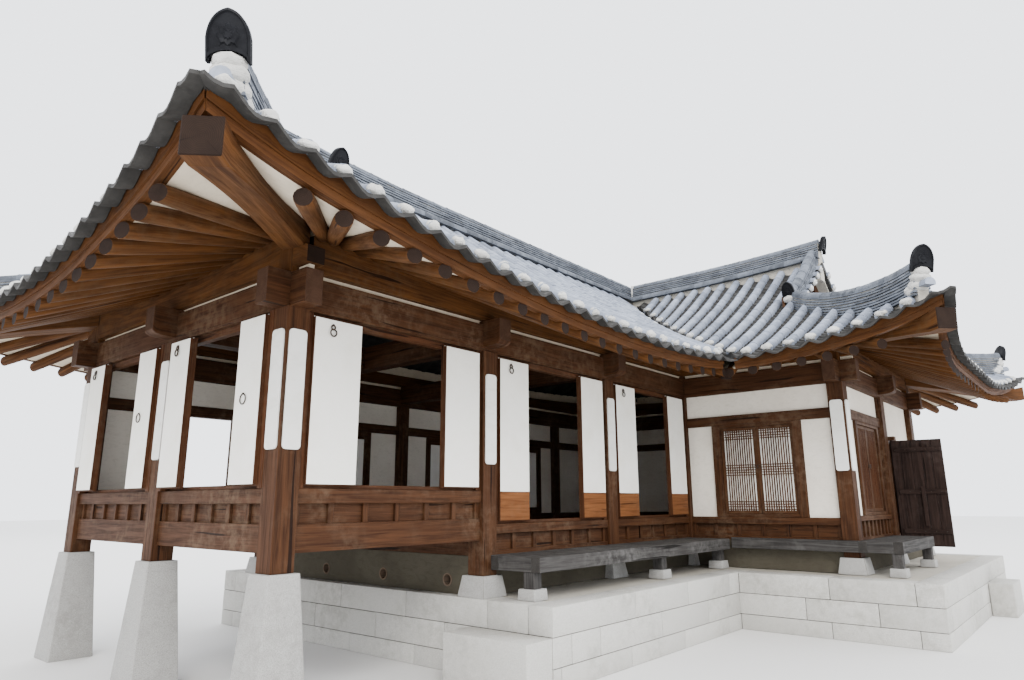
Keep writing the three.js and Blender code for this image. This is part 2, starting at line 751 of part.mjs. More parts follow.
place('west_frame', union([
  post('west', 0, HIGH_POST_FOOT),
  post('west', MIDDLE_Y, HIGH_POST_FOOT),
  post('west', DEPTH, HIGH_POST_FOOT),
  raisedSill('west', POST_HALF - 5, MIDDLE_Y - POST_HALF + 5),
  raisedSill('west', MIDDLE_Y + POST_HALF - 5, DEPTH - POST_HALF + 5),
  header('west', -HEADER_RUN_ON, DEPTH + HEADER_RUN_ON),
  crossbeam('west', MIDDLE_Y, MAIN_X[1] - 95 - SEAT),
  headerStub('west', 0, 80, HEADER_RUN_ON),
  headerStub('west', DEPTH, 80, HEADER_RUN_ON),
]), TIMBER());

place('front_frame', union([
  post('front', MAIN_X[1], LOW_POST_FOOT),
  post('front', MAIN_X[2], LOW_POST_FOOT),
  post('front', MAIN_X[3], LOW_POST_FOOT),
  raisedSill('front', FACE, MAIN_X[1] - POST_HALF + 5),
  lowSill('front', MAIN_X[1] + POST_HALF - 5, MAIN_X[2] - POST_HALF + 5),
  lowSill('front', MAIN_X[2] + POST_HALF - 5, MAIN_X[3] - POST_HALF + 5),
  header('front', FACE, MAIN_X[3] + 85),
  crossbeam('front', MAIN_X[1], DEPTH - 85 - SEAT),
  crossbeam('front', MAIN_X[2], DEPTH - 85 - SEAT),
  box(MAIN_X[3] - 80, EAST - 85 - SEAT, -95, 95, BEAM_HEAD_BOTTOM, BEAM_HEAD_TOP),
]), TIMBER());

// thin lintels stand before and behind the plaster of a closed bay
function lintels(name, u0, u1, z0, z1) {
  return [sideBox(name, u0, u1, 16 + SEAT, 60, z0, z1), sideBox(name, u0, u1, -60, -16 - SEAT, z0, z1)];
}

place('inner_frame', union([
  post('inner', WING_SOUTH, LOW_POST_FOOT),
  lowSill('inner', WING_SOUTH + POST_HALF - 5, -FACE),
  ...lintels('inner', WING_SOUTH + POST_HALF - 5, -FACE, LINTEL_BOTTOM, LINTEL_TOP),
  header('inner', WING_SOUTH - HEADER_RUN_ON, -FACE),
  headerStub('inner', WING_SOUTH, 80, HEADER_RUN_ON),
]), TIMBER());

const DOOR = { west: WING_MIDDLE + 189, east: WING_MIDDLE + 794, head: 2570, jambWest: 45, jambEast: 90 };
const WING_SILL = [LOW_RAIL_BOTTOM, LOW_RAIL_TOP, 1387, 1456];

// the plank door's wooden pegs turn in two sockets, blocks fixed to the post: the upper one has a hole
// right through, and the lower one has a floor that carries the leaf
const HINGE = { x: WING_MIDDLE + 145, y: WING_SOUTH - 135 };
const LEAF_FOOT = 980;
const LEAF_TOP = 2580;
const PEG_RADIUS = 20;
const SOCKET_RADIUS = 26;

function plumbCylinder(x, y, radius, z0, z1) {
  const geometry = new THREE.CylinderGeometry(radius, radius, z1 - z0, 12);
  geometry.rotateX(Math.PI / 2);
  geometry.translate(x, y, (z0 + z1) / 2);
  return toManifold(geometry);
}

function socket(z0, z1, holeFrom) {
  const block = box(HINGE.x - 60, HINGE.x + 60, HINGE.y - 60, WING_SOUTH - 60 - SEAT, z0, z1);
  return block.subtract(plumbCylinder(HINGE.x, HINGE.y, SOCKET_RADIUS, holeFrom, z1 + 10));
}

place('wing_end_frame', union([
  post('south', WING_MIDDLE, LOW_POST_FOOT),
  post('south', EAST, LOW_POST_FOOT),
  sillWall('south', WING_WEST + FACE, WING_MIDDLE - POST_HALF + 5, WING_SILL, 9),
  ...lintels('south', WING_WEST + FACE, WING_MIDDLE - POST_HALF + 5, LINTEL_BOTTOM, LINTEL_TOP),
  socket(LEAF_TOP + 10, LEAF_TOP + 70, LEAF_TOP),
  socket(LEAF_FOOT - 49, LEAF_FOOT - 8, LEAF_FOOT - 40 - SEAT),
  header('south', WING_WEST + FACE, EAST + HEADER_RUN_ON),
  headerStub('south', EAST, 80, HEADER_RUN_ON),
  crossbeam('south', WING_MIDDLE, -WING_SOUTH - 95 - SEAT),
]), TIMBER());
place('door_frame', union([
  sideBox('south', WING_MIDDLE + FACE, EAST - FACE, -60, 60, THRESHOLD_BOTTOM, THRESHOLD_TOP),
  sideBox('south', DOOR.west - DOOR.jambWest, DOOR.west, -60, 60, THRESHOLD_TOP - 5, DOOR.head + 5),
  sideBox('south', DOOR.east, DOOR.east + DOOR.jambEast, -60, 60, THRESHOLD_TOP - 5, DOOR.head + 5),
  sideBox('south', DOOR.west - DOOR.jambWest, DOOR.east + DOOR.jambEast, -60, 60, DOOR.head, DOOR.head + 90),
]), TIMBER());

// Plaster in the closed bays of the wing, each a sheet with its opening cut through
const PLASTER_HALF = 16;

function plasterSheet(name, u0, u1, z0, z1, openings) {
  const sheet = sideBox(name, u0, u1, -PLASTER_HALF, PLASTER_HALF, z0, z1);
  return subtract(sheet, openings.map(([a, b, low, high]) => sideBox(name, a, b, -300, 300, low, high)));
}

const INNER_WINDOW = [-1840, -505];
const WING_WINDOW = [7640, 8900];
const WINDOW_HEAD = LINTEL_BOTTOM - SEAT;
const BAND_TOP = HEADER_BOTTOM - SEAT;
const WING_SILL_TOP = WING_SILL[3];
place('inner_plaster', plasterSheet(
  'inner', WING_SOUTH + FACE, -FACE, LOW_SILL_TOP + SEAT, BAND_TOP,
  [[...INNER_WINDOW, LOW_SILL_TOP - 10, WINDOW_HEAD]],
), PLASTER());
place('wing_end_plaster', plasterSheet(
  'south', WING_WEST + FACE, WING_MIDDLE - FACE, WING_SILL_TOP + SEAT, BAND_TOP,
  [[...WING_WINDOW, WING_SILL_TOP - 10, WINDOW_HEAD]],
), PLASTER());
const DOOR_FRAME = [DOOR.west - DOOR.jambWest - SEAT, DOOR.east + DOOR.jambEast + SEAT];
place('door_bay_plaster', plasterSheet(
  'south', WING_MIDDLE + FACE, EAST - FACE, THRESHOLD_TOP + SEAT, BAND_TOP,
  [[...DOOR_FRAME, THRESHOLD_TOP - 10, DOOR.head + 90 + SEAT]],
), PLASTER());

// Lattice windows: a frame with two leaves of stiles and rails over a thin papered lattice
const LEAF_FRAME = 55;

function latticeWindow(name, u0, u1, z0, z1, jamb) {
  const rail = 60;
  const middle = (u0 + u1) / 2;
  const leaf = (a, b) => {
    const rim = sideBox(name, a, b, -24, 24, z0 + rail - 5, z1 - rail + 5);
    const light = sideBox(name, a + LEAF_FRAME, b - LEAF_FRAME, -40, 40, z0 + rail + 50, z1 - rail - 50);
    const paper = sideBox(name, a + 20, b - 20, -8, 8, z0 + rail + 20, z1 - rail - 20);
    return rim.subtract(light).add(paper);
  };
  const outer = sideBox(name, u0, u1, -55, 55, z0, z1);
  const inner = sideBox(name, u0 + jamb, u1 - jamb, -90, 90, z0 + rail, z1 - rail);
  return union([outer.subtract(inner), leaf(u0 + jamb - 5, middle + 2), leaf(middle - 2, u1 - jamb + 5)]);
}

place('inner_lattice_window', latticeWindow(
  'inner', INNER_WINDOW[0] + SEAT, INNER_WINDOW[1] - SEAT, LOW_SILL_TOP + SEAT, WINDOW_HEAD - SEAT, 180,
), TIMBER());
place('wing_end_lattice_window', latticeWindow(
  'south', WING_WINDOW[0] + SEAT, WING_WINDOW[1] - SEAT, WING_SILL_TOP + SEAT, WINDOW_HEAD - SEAT, 90,
), TIMBER());

// Folding windows: a jamb stands by each post, beside it hangs the fixed leaf,
// and the papered leaf next to that is folded back flat over it
const WINDOW_JAMB = 66;
const LEAF_STACK = 76;

function foldingWindow(name, u0, u1, leafWidth, z0, faceOut) {
  const z1 = HEADER_BOTTOM - SEAT;
  const leaves = (a, b) => union([
    sideBox(name, a, b, faceOut - LEAF_STACK, faceOut - 36, z0 + 20, z1 - 25),
    sideBox(name, a, b, faceOut - 40, faceOut, z0 + 32, z1 - 37),
  ]);
  const west = u0 + WINDOW_JAMB;
  const east = u1 - WINDOW_JAMB;
  return union([
    sideBox(name, u0, west, -45, faceOut - 40, z0, z1),
    sideBox(name, east, u1, -45, faceOut - 40, z0, z1),
    sideBox(name, u0, u1, -45, 30, z1 - 60, z1),
    sideBox(name, u0, u1, -45, 30, z0, z0 + 34),
    leaves(west - 5, west + leafWidth),
    leaves(east - leafWidth, east + 5),
  ]);
}

const RAISED_LEAF_FOOT = RAISED_SILL_TOP + SEAT;
const LOW_LEAF_FOOT = LOW_SILL_TOP + SEAT;
const WEST_LEAF = { width: 395, face: 150 };
const FRONT_LEAF = { width: 495, face: 102 };
const FOLDING_WINDOWS = [
  ['west_window_1', 'west', 0, MIDDLE_Y, RAISED_LEAF_FOOT, WEST_LEAF],
  ['west_window_2', 'west', MIDDLE_Y, DEPTH, RAISED_LEAF_FOOT, WEST_LEAF],
  ['front_window_1', 'front', MAIN_X[0], MAIN_X[1], RAISED_LEAF_FOOT, FRONT_LEAF],
  ['front_window_2', 'front', MAIN_X[1], MAIN_X[2], LOW_LEAF_FOOT, FRONT_LEAF],
  ['front_window_3', 'front', MAIN_X[2], MAIN_X[3], LOW_LEAF_FOOT, FRONT_LEAF],
];
FOLDING_WINDOWS.forEach(([name, side, from, to, foot, leaf]) => {
  place(name, foldingWindow(side, from + FACE, to - FACE, leaf.width, foot, leaf.face), PAPER());
});

// The plank door of the wing's end, standing open at right angles: planks, three battens and two pegs
const LEAF_HALF = 21;
const LEAF_WIDTH = 686;
const BATTENS = [1200, 1790, 2430];
const batten = (z) => box(
  HINGE.x - LEAF_HALF - 28, HINGE.x - LEAF_HALF + 5, HINGE.y - LEAF_WIDTH + 10, HINGE.y - 40, z - 35, z + 35,
);
place('door_leaf', union([
  box(HINGE.x - LEAF_HALF, HINGE.x + LEAF_HALF, HINGE.y - LEAF_WIDTH, HINGE.y + 24, LEAF_FOOT, LEAF_TOP),
  ...BATTENS.map(batten),
  plumbCylinder(HINGE.x, HINGE.y, PEG_RADIUS, LEAF_TOP - 5, LEAF_TOP + 65),
  plumbCylinder(HINGE.x, HINGE.y, PEG_RADIUS, LEAF_FOOT - 40, LEAF_FOOT + 5),
]), TIMBER());

// Floors and porches
const SLAB = 60;
const RAISED_FLOOR_TOP = 1490;
const RAIL_FACE = 60 + SEAT;
const RISER = { west: 2345, east: 2455 };
const aroundPosts = [...PLINTHS, ...PILLARS.map(([, y]) => [0, y])].map(([x, y]) => box(
  x - FACE, x + FACE, y - FACE, y + FACE, 0, 3000,
));
const raisedFloor = union([
  box(RAIL_FACE, RISER.east, RAIL_FACE, DEPTH - RAIL_FACE, RAISED_FLOOR_TOP - SLAB, RAISED_FLOOR_TOP),
  box(RISER.west, RISER.east, RAIL_FACE, DEPTH - RAIL_FACE, LOW_RAIL_BOTTOM, RAISED_FLOOR_TOP),
]);
const lowFloor = union([
  box(RISER.east + SEAT, EAST - RAIL_FACE, RAIL_FACE, DEPTH - RAIL_FACE, LOW_RAIL_BOTTOM - 44, FLOOR_TOP),
  box(
    WING_WEST + RAIL_FACE, EAST - RAIL_FACE, WING_SOUTH + RAIL_FACE, RAIL_FACE + 5,
    LOW_RAIL_BOTTOM - 44, FLOOR_TOP,
  ),
]);
place('raised_floor', subtract(raisedFloor, aroundPosts), OLD_TIMBER());
place('low_floor', subtract(lowFloor, aroundPosts), OLD_TIMBER());

const PORCH_FRONT = 744;
const WING_PORCH_TOP = 1150;

function porchLeg(x, y, half, top) {
  return union([
    box(x - half, x + half, y - half, y + half, PLATFORM_TOP + 100, top - PORCH_DEPTH + 5),
    box(x - half * 1.7, x + half * 1.7, y - half * 1.7, y + half * 1.7, PLATFORM_TOP + SEAT, PLATFORM_TOP + 105),
  ]);
}

function porchDeck(x0, x1, y0, y1, top) {
  const deck = box(x0, x1, y0, y1, top - PORCH_DEPTH, top);
  return deck.subtract(box(x0 + 110, x1 - 110, y0 + 110, y1 - 60, top - PORCH_DEPTH - 5, top - 45));
}

place('front_porch', union([
  porchDeck(2410, 6870, -PORCH_FRONT, -POST_HALF - SEAT, PORCH_TOP),
  porchLeg(2490, -590, 65, PORCH_TOP),
  porchLeg(5060, -590, 65, PORCH_TOP),
  porchLeg(6780, -590, 65, PORCH_TOP),
]), OLD_TIMBER());
place('wing_porch', union([
  box(6880, WING_WEST - POST_HALF - SEAT, -2990, -760, WING_PORCH_TOP - PORCH_DEPTH, WING_PORCH_TOP),
  porchDeck(6880, 8850, -2990, WING_SOUTH - POST_HALF - SEAT, WING_PORCH_TOP),
  porchLeg(6960, -2900, 60, WING_PORCH_TOP),
  porchLeg(8770, -2900, 60, WING_PORCH_TOP),
]), OLD_TIMBER());

// The unseen sides, each one wall of posts, rails, headers, plaster and windows
function closedBay(name, u0, u1, foot) {
  return union([
    sideBox(name, u0, u1, -PLASTER_HALF, PLASTER_HALF, foot, HEADER_BOTTOM + 5),
    sideBox(name, u0, u1, -60, 60, LINTEL_BOTTOM, LINTEL_TOP),
  ]);
}

const REAR_WINDOW = { half: 480, low: LOW_SILL_TOP + 70, high: LINTEL_BOTTOM - 70 };

// a lattice window in an unseen wall, with a frame and two papered leaves
function rearWindow(name, u) {
  const { half, low, high } = REAR_WINDOW;
  const piece = (a, b, out, trim) => sideBox(name, u + a, u + b, -out, out, low - trim, high + trim);
  const light = (a, b) => piece(a, b, 50, -50);
  const rim = piece(-half - 70, half + 70, 45, 70).subtract(piece(-half, half, 90, 0));
  const leaves = subtract(piece(-half - 5, half + 5, 24, 5), [light(-half + 55, -50), light(50, half - 55)]);
  return union([rim, leaves, piece(-half, half, 8, 0)]);
}

const REAR_BAYS = [[2400, 4800], [4800, WING_WEST], [WING_WEST, WING_MIDDLE], [WING_MIDDLE, EAST]];
const REAR_WINDOWS = [3600, 5945, 8123];
const RAISED_REAR_OPENING = { from: 650, to: 1750 };

function rearBay(name, from, to) {
  const heights = [LOW_RAIL_BOTTOM, LOW_RAIL_TOP, LOW_SILL_BOTTOM, LOW_SILL_TOP];
  return union([sillWall(name, from, to, heights, 2), closedBay(name, from, to, LOW_SILL_TOP - 5)]);
}

// the raised room's rear bay stands open between two leaves
function raisedRearBay(u0, u1) {
  const { from, to } = RAISED_REAR_OPENING;
  const opening = sideBox('north', from, to, -300, 300, RAISED_SILL_TOP, LINTEL_BOTTOM);
  const stiles = [[from - 70, from], [to, to + 70]];
  return union([
    raisedSill('north', u0, u1, 3),
    closedBay('north', u0, u1, RAISED_SILL_TOP - 5).subtract(opening),
    ...stiles.map(([a, b]) => sideBox('north', a, b, -45, 45, RAISED_SILL_TOP - 5, LINTEL_BOTTOM + 5)),
  ]);
}

place('north_wall', union([
  ...REAR_BAYS.map(([from]) => post('north', from, LOW_POST_FOOT)),
  raisedRearBay(FACE, 2400 - POST_HALF + 5),
  ...REAR_BAYS.slice(0, 3).map(([from, to]) => rearBay('north', from + POST_HALF - 5, to - POST_HALF + 5)),
  rearBay('north', WING_MIDDLE + POST_HALF - 5, EAST - FACE),
  ...REAR_WINDOWS.map((u) => rearWindow('north', u)),
  header('north', FACE, EAST - FACE),
]), PLASTER());

const EAST_WINDOWS = [-1178, MIDDLE_Y / 2];
place('east_wall', union([
  ...[0, MIDDLE_Y, DEPTH].map((u) => post('east', u, LOW_POST_FOOT)),
  rearBay('east', WING_SOUTH + FACE, -POST_HALF + 5),
  rearBay('east', POST_HALF - 5, MIDDLE_Y - POST_HALF + 5),
  rearBay('east', MIDDLE_Y + POST_HALF - 5, DEPTH - POST_HALF + 5),
  ...EAST_WINDOWS.map((u) => rearWindow('east', u)),
  header('east', WING_SOUTH + FACE, DEPTH + HEADER_RUN_ON),
  headerStub('east', DEPTH, 80, HEADER_RUN_ON),
]), PLASTER());

// Ridges, gables, rafters and corner rafters, each seated on the pieces that carry it
place('front_roof_slope', tiledSlope('front'), TILE());
place('west_roof_slope', tiledSlope('west'), TILE());
place('rear_roof_slope', tiledSlope('north'), TILE());
place('east_roof_slope', tiledSlope('east'), TILE());
place('wing_end_roof_slope', tiledSlope('south'), TILE());
place('inner_roof_slope', tiledSlope('inner'), TILE());

const seatedOn = (solid, names) => subtract(solid, names.map(
  (name) => slopeRoom[name].translate([0, 0, SEAT]),
));
const mainRidge = union([
  topRidge(HALVES.main, WING_MIDDLE + RIDGE_HALF),
  vergeRidge(HALVES.main, false),
  vergeRidge(HALVES.main, true),
  hipRidge('north', [0, DEPTH], [1, -1], HIP_TO),
  hipRidge('north', [EAST, DEPTH], [-1, -1], DEPTH / 2 - 60),
]);
place('main_ridge', seatedOn(mainRidge, ['front', 'west', 'north', 'east', 'inner']), RIDGE_TILE());
const wingRidge = union([
  topRidge(HALVES.wing, DEPTH / 2 - RIDGE_HALF - SEAT - WING_SOUTH),
  vergeRidge(HALVES.wing, false),
  vergeRidge(HALVES.wing, true),
  hipRidge('east', [EAST, WING_SOUTH], [-1, 1], HIP_TO),
]);
place('wing_ridge', seatedOn(wingRidge, ['inner', 'south', 'east', 'front']), RIDGE_TILE());
const southwestHip = hipRidge('front', [0, 0], [1, 1], HIP_TO).subtract(vergeSpace(HALVES.main));
place('southwest_hip_ridge', seatedOn(southwestHip, ['front', 'west']), RIDGE_TILE());
const wingHip = hipRidge('inner', [WING_WEST, WING_SOUTH], [1, 1], HIP_TO).subtract(vergeSpace(HALVES.wing));
place('wing_southwest_hip_ridge', seatedOn(wingHip, ['inner', 'south']), RIDGE_TILE());

// the triangular wall under the end of a ridge
function gable(half, crown) {
  const places = [880, 1200, 1550, DEPTH / 2 - RIDGE_HALF];
  const outline = places.map((b) => [b, sideUnder(half, VERGE_INNER, b) + 20]);
  const mirrored = [...outline].reverse().map(([b, z]) => [DEPTH - b, z]);
  const foot = sideUnder(half, VERGE_INNER, 880) - 60;
  const edge = [[880, foot], ...outline, ...mirrored, [DEPTH - 880, foot]];
  const loop = (a) => edge.map(([b, z]) => [...half.at(a, b), z]);
  const wall = loft([loop(VERGE_INNER), loop(VERGE_INNER + 80)]);
  const lowered = [half.low, half.high].map((name) => slopeRoom[name].translate([0, 0, -SEAT]));
  const besideRidge = [[0, 0, -SEAT], [SEAT, SEAT, 0], [-SEAT, -SEAT, 0]].map((shift) => crown.translate(shift));
  return subtract(wall, [...lowered, ...besideRidge]);
}
place('west_gable', gable(HALVES.main, mainRidge), TIMBER());
place('wing_gable', gable(HALVES.wing, wingRidge), TIMBER());

// a corner rafter: a squared timber on the diagonal, its underside curving up to the tip,
// with a second one lying on it, cut to the ridge and the purlins it meets
function cornerRafter(name, corner, inward, hip, purlins) {
  const side = SIDES[name];
  const nx = -inward[1] * Math.SQRT1_2;
  const ny = inward[0] * Math.SQRT1_2;
  const loops = (half, topAt, bottomAt) => shares(7).map((share) => {
    const t = -1580 + 1560 * share;
    const [x, y] = [corner[0] + inward[0] * t, corner[1] + inward[1] * t];
    const at = (across, z) => [x + nx * across, y + ny * across, z];
    const low = bottomAt(x, y, share);
    const top = topAt(x, y);
    return [at(-half, low), at(half, low), at(half, top), at(-half, top)];
  });
  const seat = (x, y) => rafterTop(side, x, y) - 70;
  const curve = (x, y, share) => rafterTop(side, x, y) - 290 + 90 * Math.sin(Math.PI * share);
  const lower = loft(loops(115, seat, curve));
  const upper = loft(loops(88, (x, y) => tileTop(side, x, y) - EAVE_THICKNESS + 12, (x, y) => seat(x, y) - 8));
  const outwards = [-inward[0] * SEAT, -inward[1] * SEAT, 0];
  const underHip = [hip.translate([0, 0, -SEAT]), hip.translate(outwards)];
  const overPurlins = purlins.map((solid) => solid.translate([0, 0, SEAT]));
  return subtract(lower.add(upper), [...underHip, ...overPurlins]);
}

// a purlin's end that runs on past the corner, lower than the rafters that fan out over it
const PURLIN_END_TOP = 3755;

function purlinEnd(name, u0, u1, out0, out1) {
  return sideBox(name, u0, u1, out0, out1, PURLIN_BOTTOM + SEAT, PURLIN_END_TOP);
}

function cornerEnds(name, u, sign) {
  const along = [u + sign * (PURLIN_HALF - 5), u + sign * HEADER_RUN_ON].sort((a, b) => a - b);
  return union([purlinEnd(name, ...along, -85, 85), purlinEnd(name, u - 85, u + 85, 80, HEADER_RUN_ON)]);
}

const INSIDE_PURLIN = PURLIN_HALF + SEAT;
const PURLINS = {
  west: union([
    purlin('west', -PURLIN_HALF, DEPTH + PURLIN_HALF), cornerEnds('west', 0, -1), cornerEnds('west', DEPTH, 1),
  ]),
  front: purlin('front', INSIDE_PURLIN, WING_WEST + PURLIN_HALF),
  inner: union([purlin('inner', WING_SOUTH - PURLIN_HALF, -INSIDE_PURLIN), cornerEnds('inner', WING_SOUTH, -1)]),
  south: union([purlin('south', WING_WEST + INSIDE_PURLIN, EAST + PURLIN_HALF), cornerEnds('south', EAST, 1)]),
  north: purlin('north', INSIDE_PURLIN, EAST - INSIDE_PURLIN),
  east: union([purlin('east', WING_SOUTH + INSIDE_PURLIN, DEPTH + PURLIN_HALF), cornerEnds('east', DEPTH, 1)]),
};

// the timber under the valley, on the diagonal from the eave to the wall
function valleyRafter(growth) {
  const half = (75 + growth) * Math.SQRT1_2;
  return loft(shares(4).map((share) => {
    const out = 1350 + growth + (90 - 1350 - 2 * growth) * share;
    const [x, y] = [WING_WEST - out, -out];
    const top = rafterTop(SIDES.front, x, y) - 3 + growth;
    const at = (sign, z) => [x + sign * half, y - sign * half, z];
    const low = top - 150 - 2 * growth;
    return [at(-1, low), at(1, low), at(1, top), at(-1, top)];
  }));
}

const FAN_SIDES = {
  west: rafterRow('west', 0, DEPTH),
  north: rafterRow('north', 0, EAST),
  east: rafterRow('east', WING_SOUTH, DEPTH),
  south: rafterRow('south', WING_WEST, EAST),
};
const rearCorners = [
  cornerRafter('north', [0, DEPTH], [1, -1], mainRidge, [PURLINS.west]),
  cornerRafter('north', [EAST, DEPTH], [-1, -1], mainRidge, [PURLINS.east]),
];
place('front_rafters', union([
  PURLINS.front, eaveBoard('front', COLUMNS.front), valleyRafter(0), ...rafterRow('front', 0, WING_WEST, 20),
]), TIMBER());
place('inner_rafters', union([
  PURLINS.inner, eaveBoard('inner', COLUMNS.inner), ...rafterRow('inner', WING_SOUTH, 0, 240),
]).subtract(valleyRafter(1)), TIMBER());
place('west_rafters', union([PURLINS.west, eaveBoard('west', COLUMNS.west), ...FAN_SIDES.west]), TIMBER());
place('wing_end_rafters', union([
  PURLINS.south, eaveBoard('south', COLUMNS.south), ...FAN_SIDES.south,
]), TIMBER());
place('rear_rafters', union([PURLINS.north, eaveBoard('north', COLUMNS.north), ...FAN_SIDES.north]), TIMBER());
place('east_rafters', union([PURLINS.east, eaveBoard('east', COLUMNS.east), ...FAN_SIDES.east]), TIMBER());
place('northwest_corner_rafter', rearCorners[0], TIMBER());
place('northeast_corner_rafter', rearCorners[1], TIMBER());
place('southwest_corner_rafter', cornerRafter(
  'front', [0, 0], [1, 1], southwestHip, [PURLINS.west, PURLINS.front],
), TIMBER());
place('wing_southwest_corner_rafter', cornerRafter(
  'inner', [WING_WEST, WING_SOUTH], [1, 1], wingHip, [PURLINS.inner, PURLINS.south],
), TIMBER());
place('wing_southeast_corner_rafter', cornerRafter(
  'east', [EAST, WING_SOUTH], [-1, 1], wingRidge, [PURLINS.east, PURLINS.south],
), TIMBER());

export default house;
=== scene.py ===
# %% [markdown]
# # A hanok, dressed in Blender
# A hanok is a timber house whose posts, rails and rafters all show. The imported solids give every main
# size. This lesson puts the visible work over them: squared timbers with their grain, ashlar, papered
# leaves, and a roof of real rows of tiles. Everything is set out on the builder's plan, in millimetres
# from the axis of the south-west corner post, because joiners measure between post axes.

# %% Load the frame
import math
import random

import bpy
import numpy as np
from mathutils import Matrix, Vector


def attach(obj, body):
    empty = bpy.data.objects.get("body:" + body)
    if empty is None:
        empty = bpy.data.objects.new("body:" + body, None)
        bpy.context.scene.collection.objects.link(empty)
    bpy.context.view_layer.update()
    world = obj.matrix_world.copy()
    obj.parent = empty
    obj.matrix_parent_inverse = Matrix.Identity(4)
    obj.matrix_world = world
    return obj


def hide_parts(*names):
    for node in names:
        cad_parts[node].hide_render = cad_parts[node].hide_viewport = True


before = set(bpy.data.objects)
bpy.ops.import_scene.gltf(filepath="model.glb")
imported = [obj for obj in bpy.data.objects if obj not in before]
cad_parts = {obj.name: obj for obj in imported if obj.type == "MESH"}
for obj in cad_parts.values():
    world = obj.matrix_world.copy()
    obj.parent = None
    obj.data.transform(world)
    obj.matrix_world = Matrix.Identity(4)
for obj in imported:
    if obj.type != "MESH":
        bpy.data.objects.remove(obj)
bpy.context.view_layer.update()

# %% The builder's plan
PLAN_CENTRE = np.array([5611.0, 896.6, 0.0])
POSTS_X = [0, 2400, 4800, 7090]
DEPTH = 4132
MIDDLE_Y = DEPTH / 2
WING_WEST, WING_MIDDLE, EAST = 7090, 9156, 11222
WING_SOUTH = -2357
DIAGONAL = math.sqrt(0.5)


def metres(points):
    """Plan millimetres to the frame's metres."""
    return (np.asarray(points, float) - PLAN_CENTRE) / 1000


def linked(name, data):
    """A new object, linked into the scene."""
    made = bpy.data.objects.new(name, data)
    bpy.context.scene.collection.objects.link(made)
    return made


print("south-west post stands at", metres([0, 0, 0]).round(3))

# %% [markdown]
# ## Camera, floor and light
# The photograph looks up at the raised corner from the ground. The camera's place was found from the
# posts, sills and stones, so it is given as numbers: where it stands, where it looks, and how wide.
# A pale floor and large soft lamps leave the materials to do the work.

# %% Camera
heading, tilt, roll = map(math.radians, (40.1261, 13.0308, -0.248))
forward = Vector((math.cos(tilt) * math.cos(heading), math.cos(tilt) * math.sin(heading), math.sin(tilt)))
level = Vector((math.sin(heading), -math.cos(heading), 0))
upright = level.cross(forward)
rightward = math.cos(roll) * level + math.sin(roll) * upright
upward = math.cos(roll) * upright - math.sin(roll) * level
camera_data = bpy.data.cameras.new("camera")
camera_data.lens, camera_data.sensor_width, camera_data.clip_end = 24.585, 36, 300
camera = linked("camera", camera_data)
camera.matrix_world = Matrix.Translation((-8.7898, -6.0126, 1.6625)) @ Matrix(
    (rightward, upward, -forward)).transposed().to_4x4()
bpy.context.scene.camera = camera
print("camera at", [round(v, 2) for v in camera.location])

# %% Floor and lamps
FLOOR_HALF = 80
floor_finish = bpy.data.materials.new("studio_floor")
floor_finish.use_nodes = True
floor_look = floor_finish.node_tree.nodes["Principled BSDF"].inputs
floor_look["Base Color"].default_value = (0.78, 0.77, 0.75, 1)
floor_look["Roughness"].default_value = 0.9
floor_mesh = bpy.data.meshes.new("studio_floor")
floor_mesh.from_pydata([(FLOOR_HALF * x, FLOOR_HALF * y, 0) for x, y in ((-1, -1), (1, -1), (1, 1), (-1, 1))], [],
                       [(0, 1, 2, 3)])
floor_mesh.materials.append(floor_finish)
floor = linked("studio_floor", floor_mesh)

sky = bpy.data.worlds.new("studio")
sky.use_nodes = True
sky.node_tree.nodes["Background"].inputs["Color"].default_value = (0.92, 0.95, 1.0, 1)
sky.node_tree.nodes["Background"].inputs["Strength"].default_value = 3.15
bpy.context.scene.world = sky

for name, place, target, size, power, colour in (
        ("key_lamp", (-22, -20, 22), (-1, -1, 2), 16, 9200, (1.0, 0.96, 0.9)),
        ("fill_lamp", (20, -26, 16), (2, -1, 2), 20, 2700, (0.92, 0.96, 1.0)),
        ("back_lamp", (10, 26, 22), (0, 2, 3), 20, 3100, (0.95, 0.97, 1.0))):
    light = bpy.data.lights.new(name, "AREA")
    light.size, light.energy, light.color = size, power, colour
    lamp = linked(name, light)
    lamp.location = place
    lamp.rotation_euler = (Vector(target) - Vector(place)).to_track_quat("-Z", "Y").to_euler()
print("lamps", len(bpy.data.lights))

# %% [markdown]
# ## Shader groups
# Wood, stone and fired clay are each used by several finishes, so their patterns are made once, as node
# groups that put out only masks and heights. Each material then mixes its own colours with them.

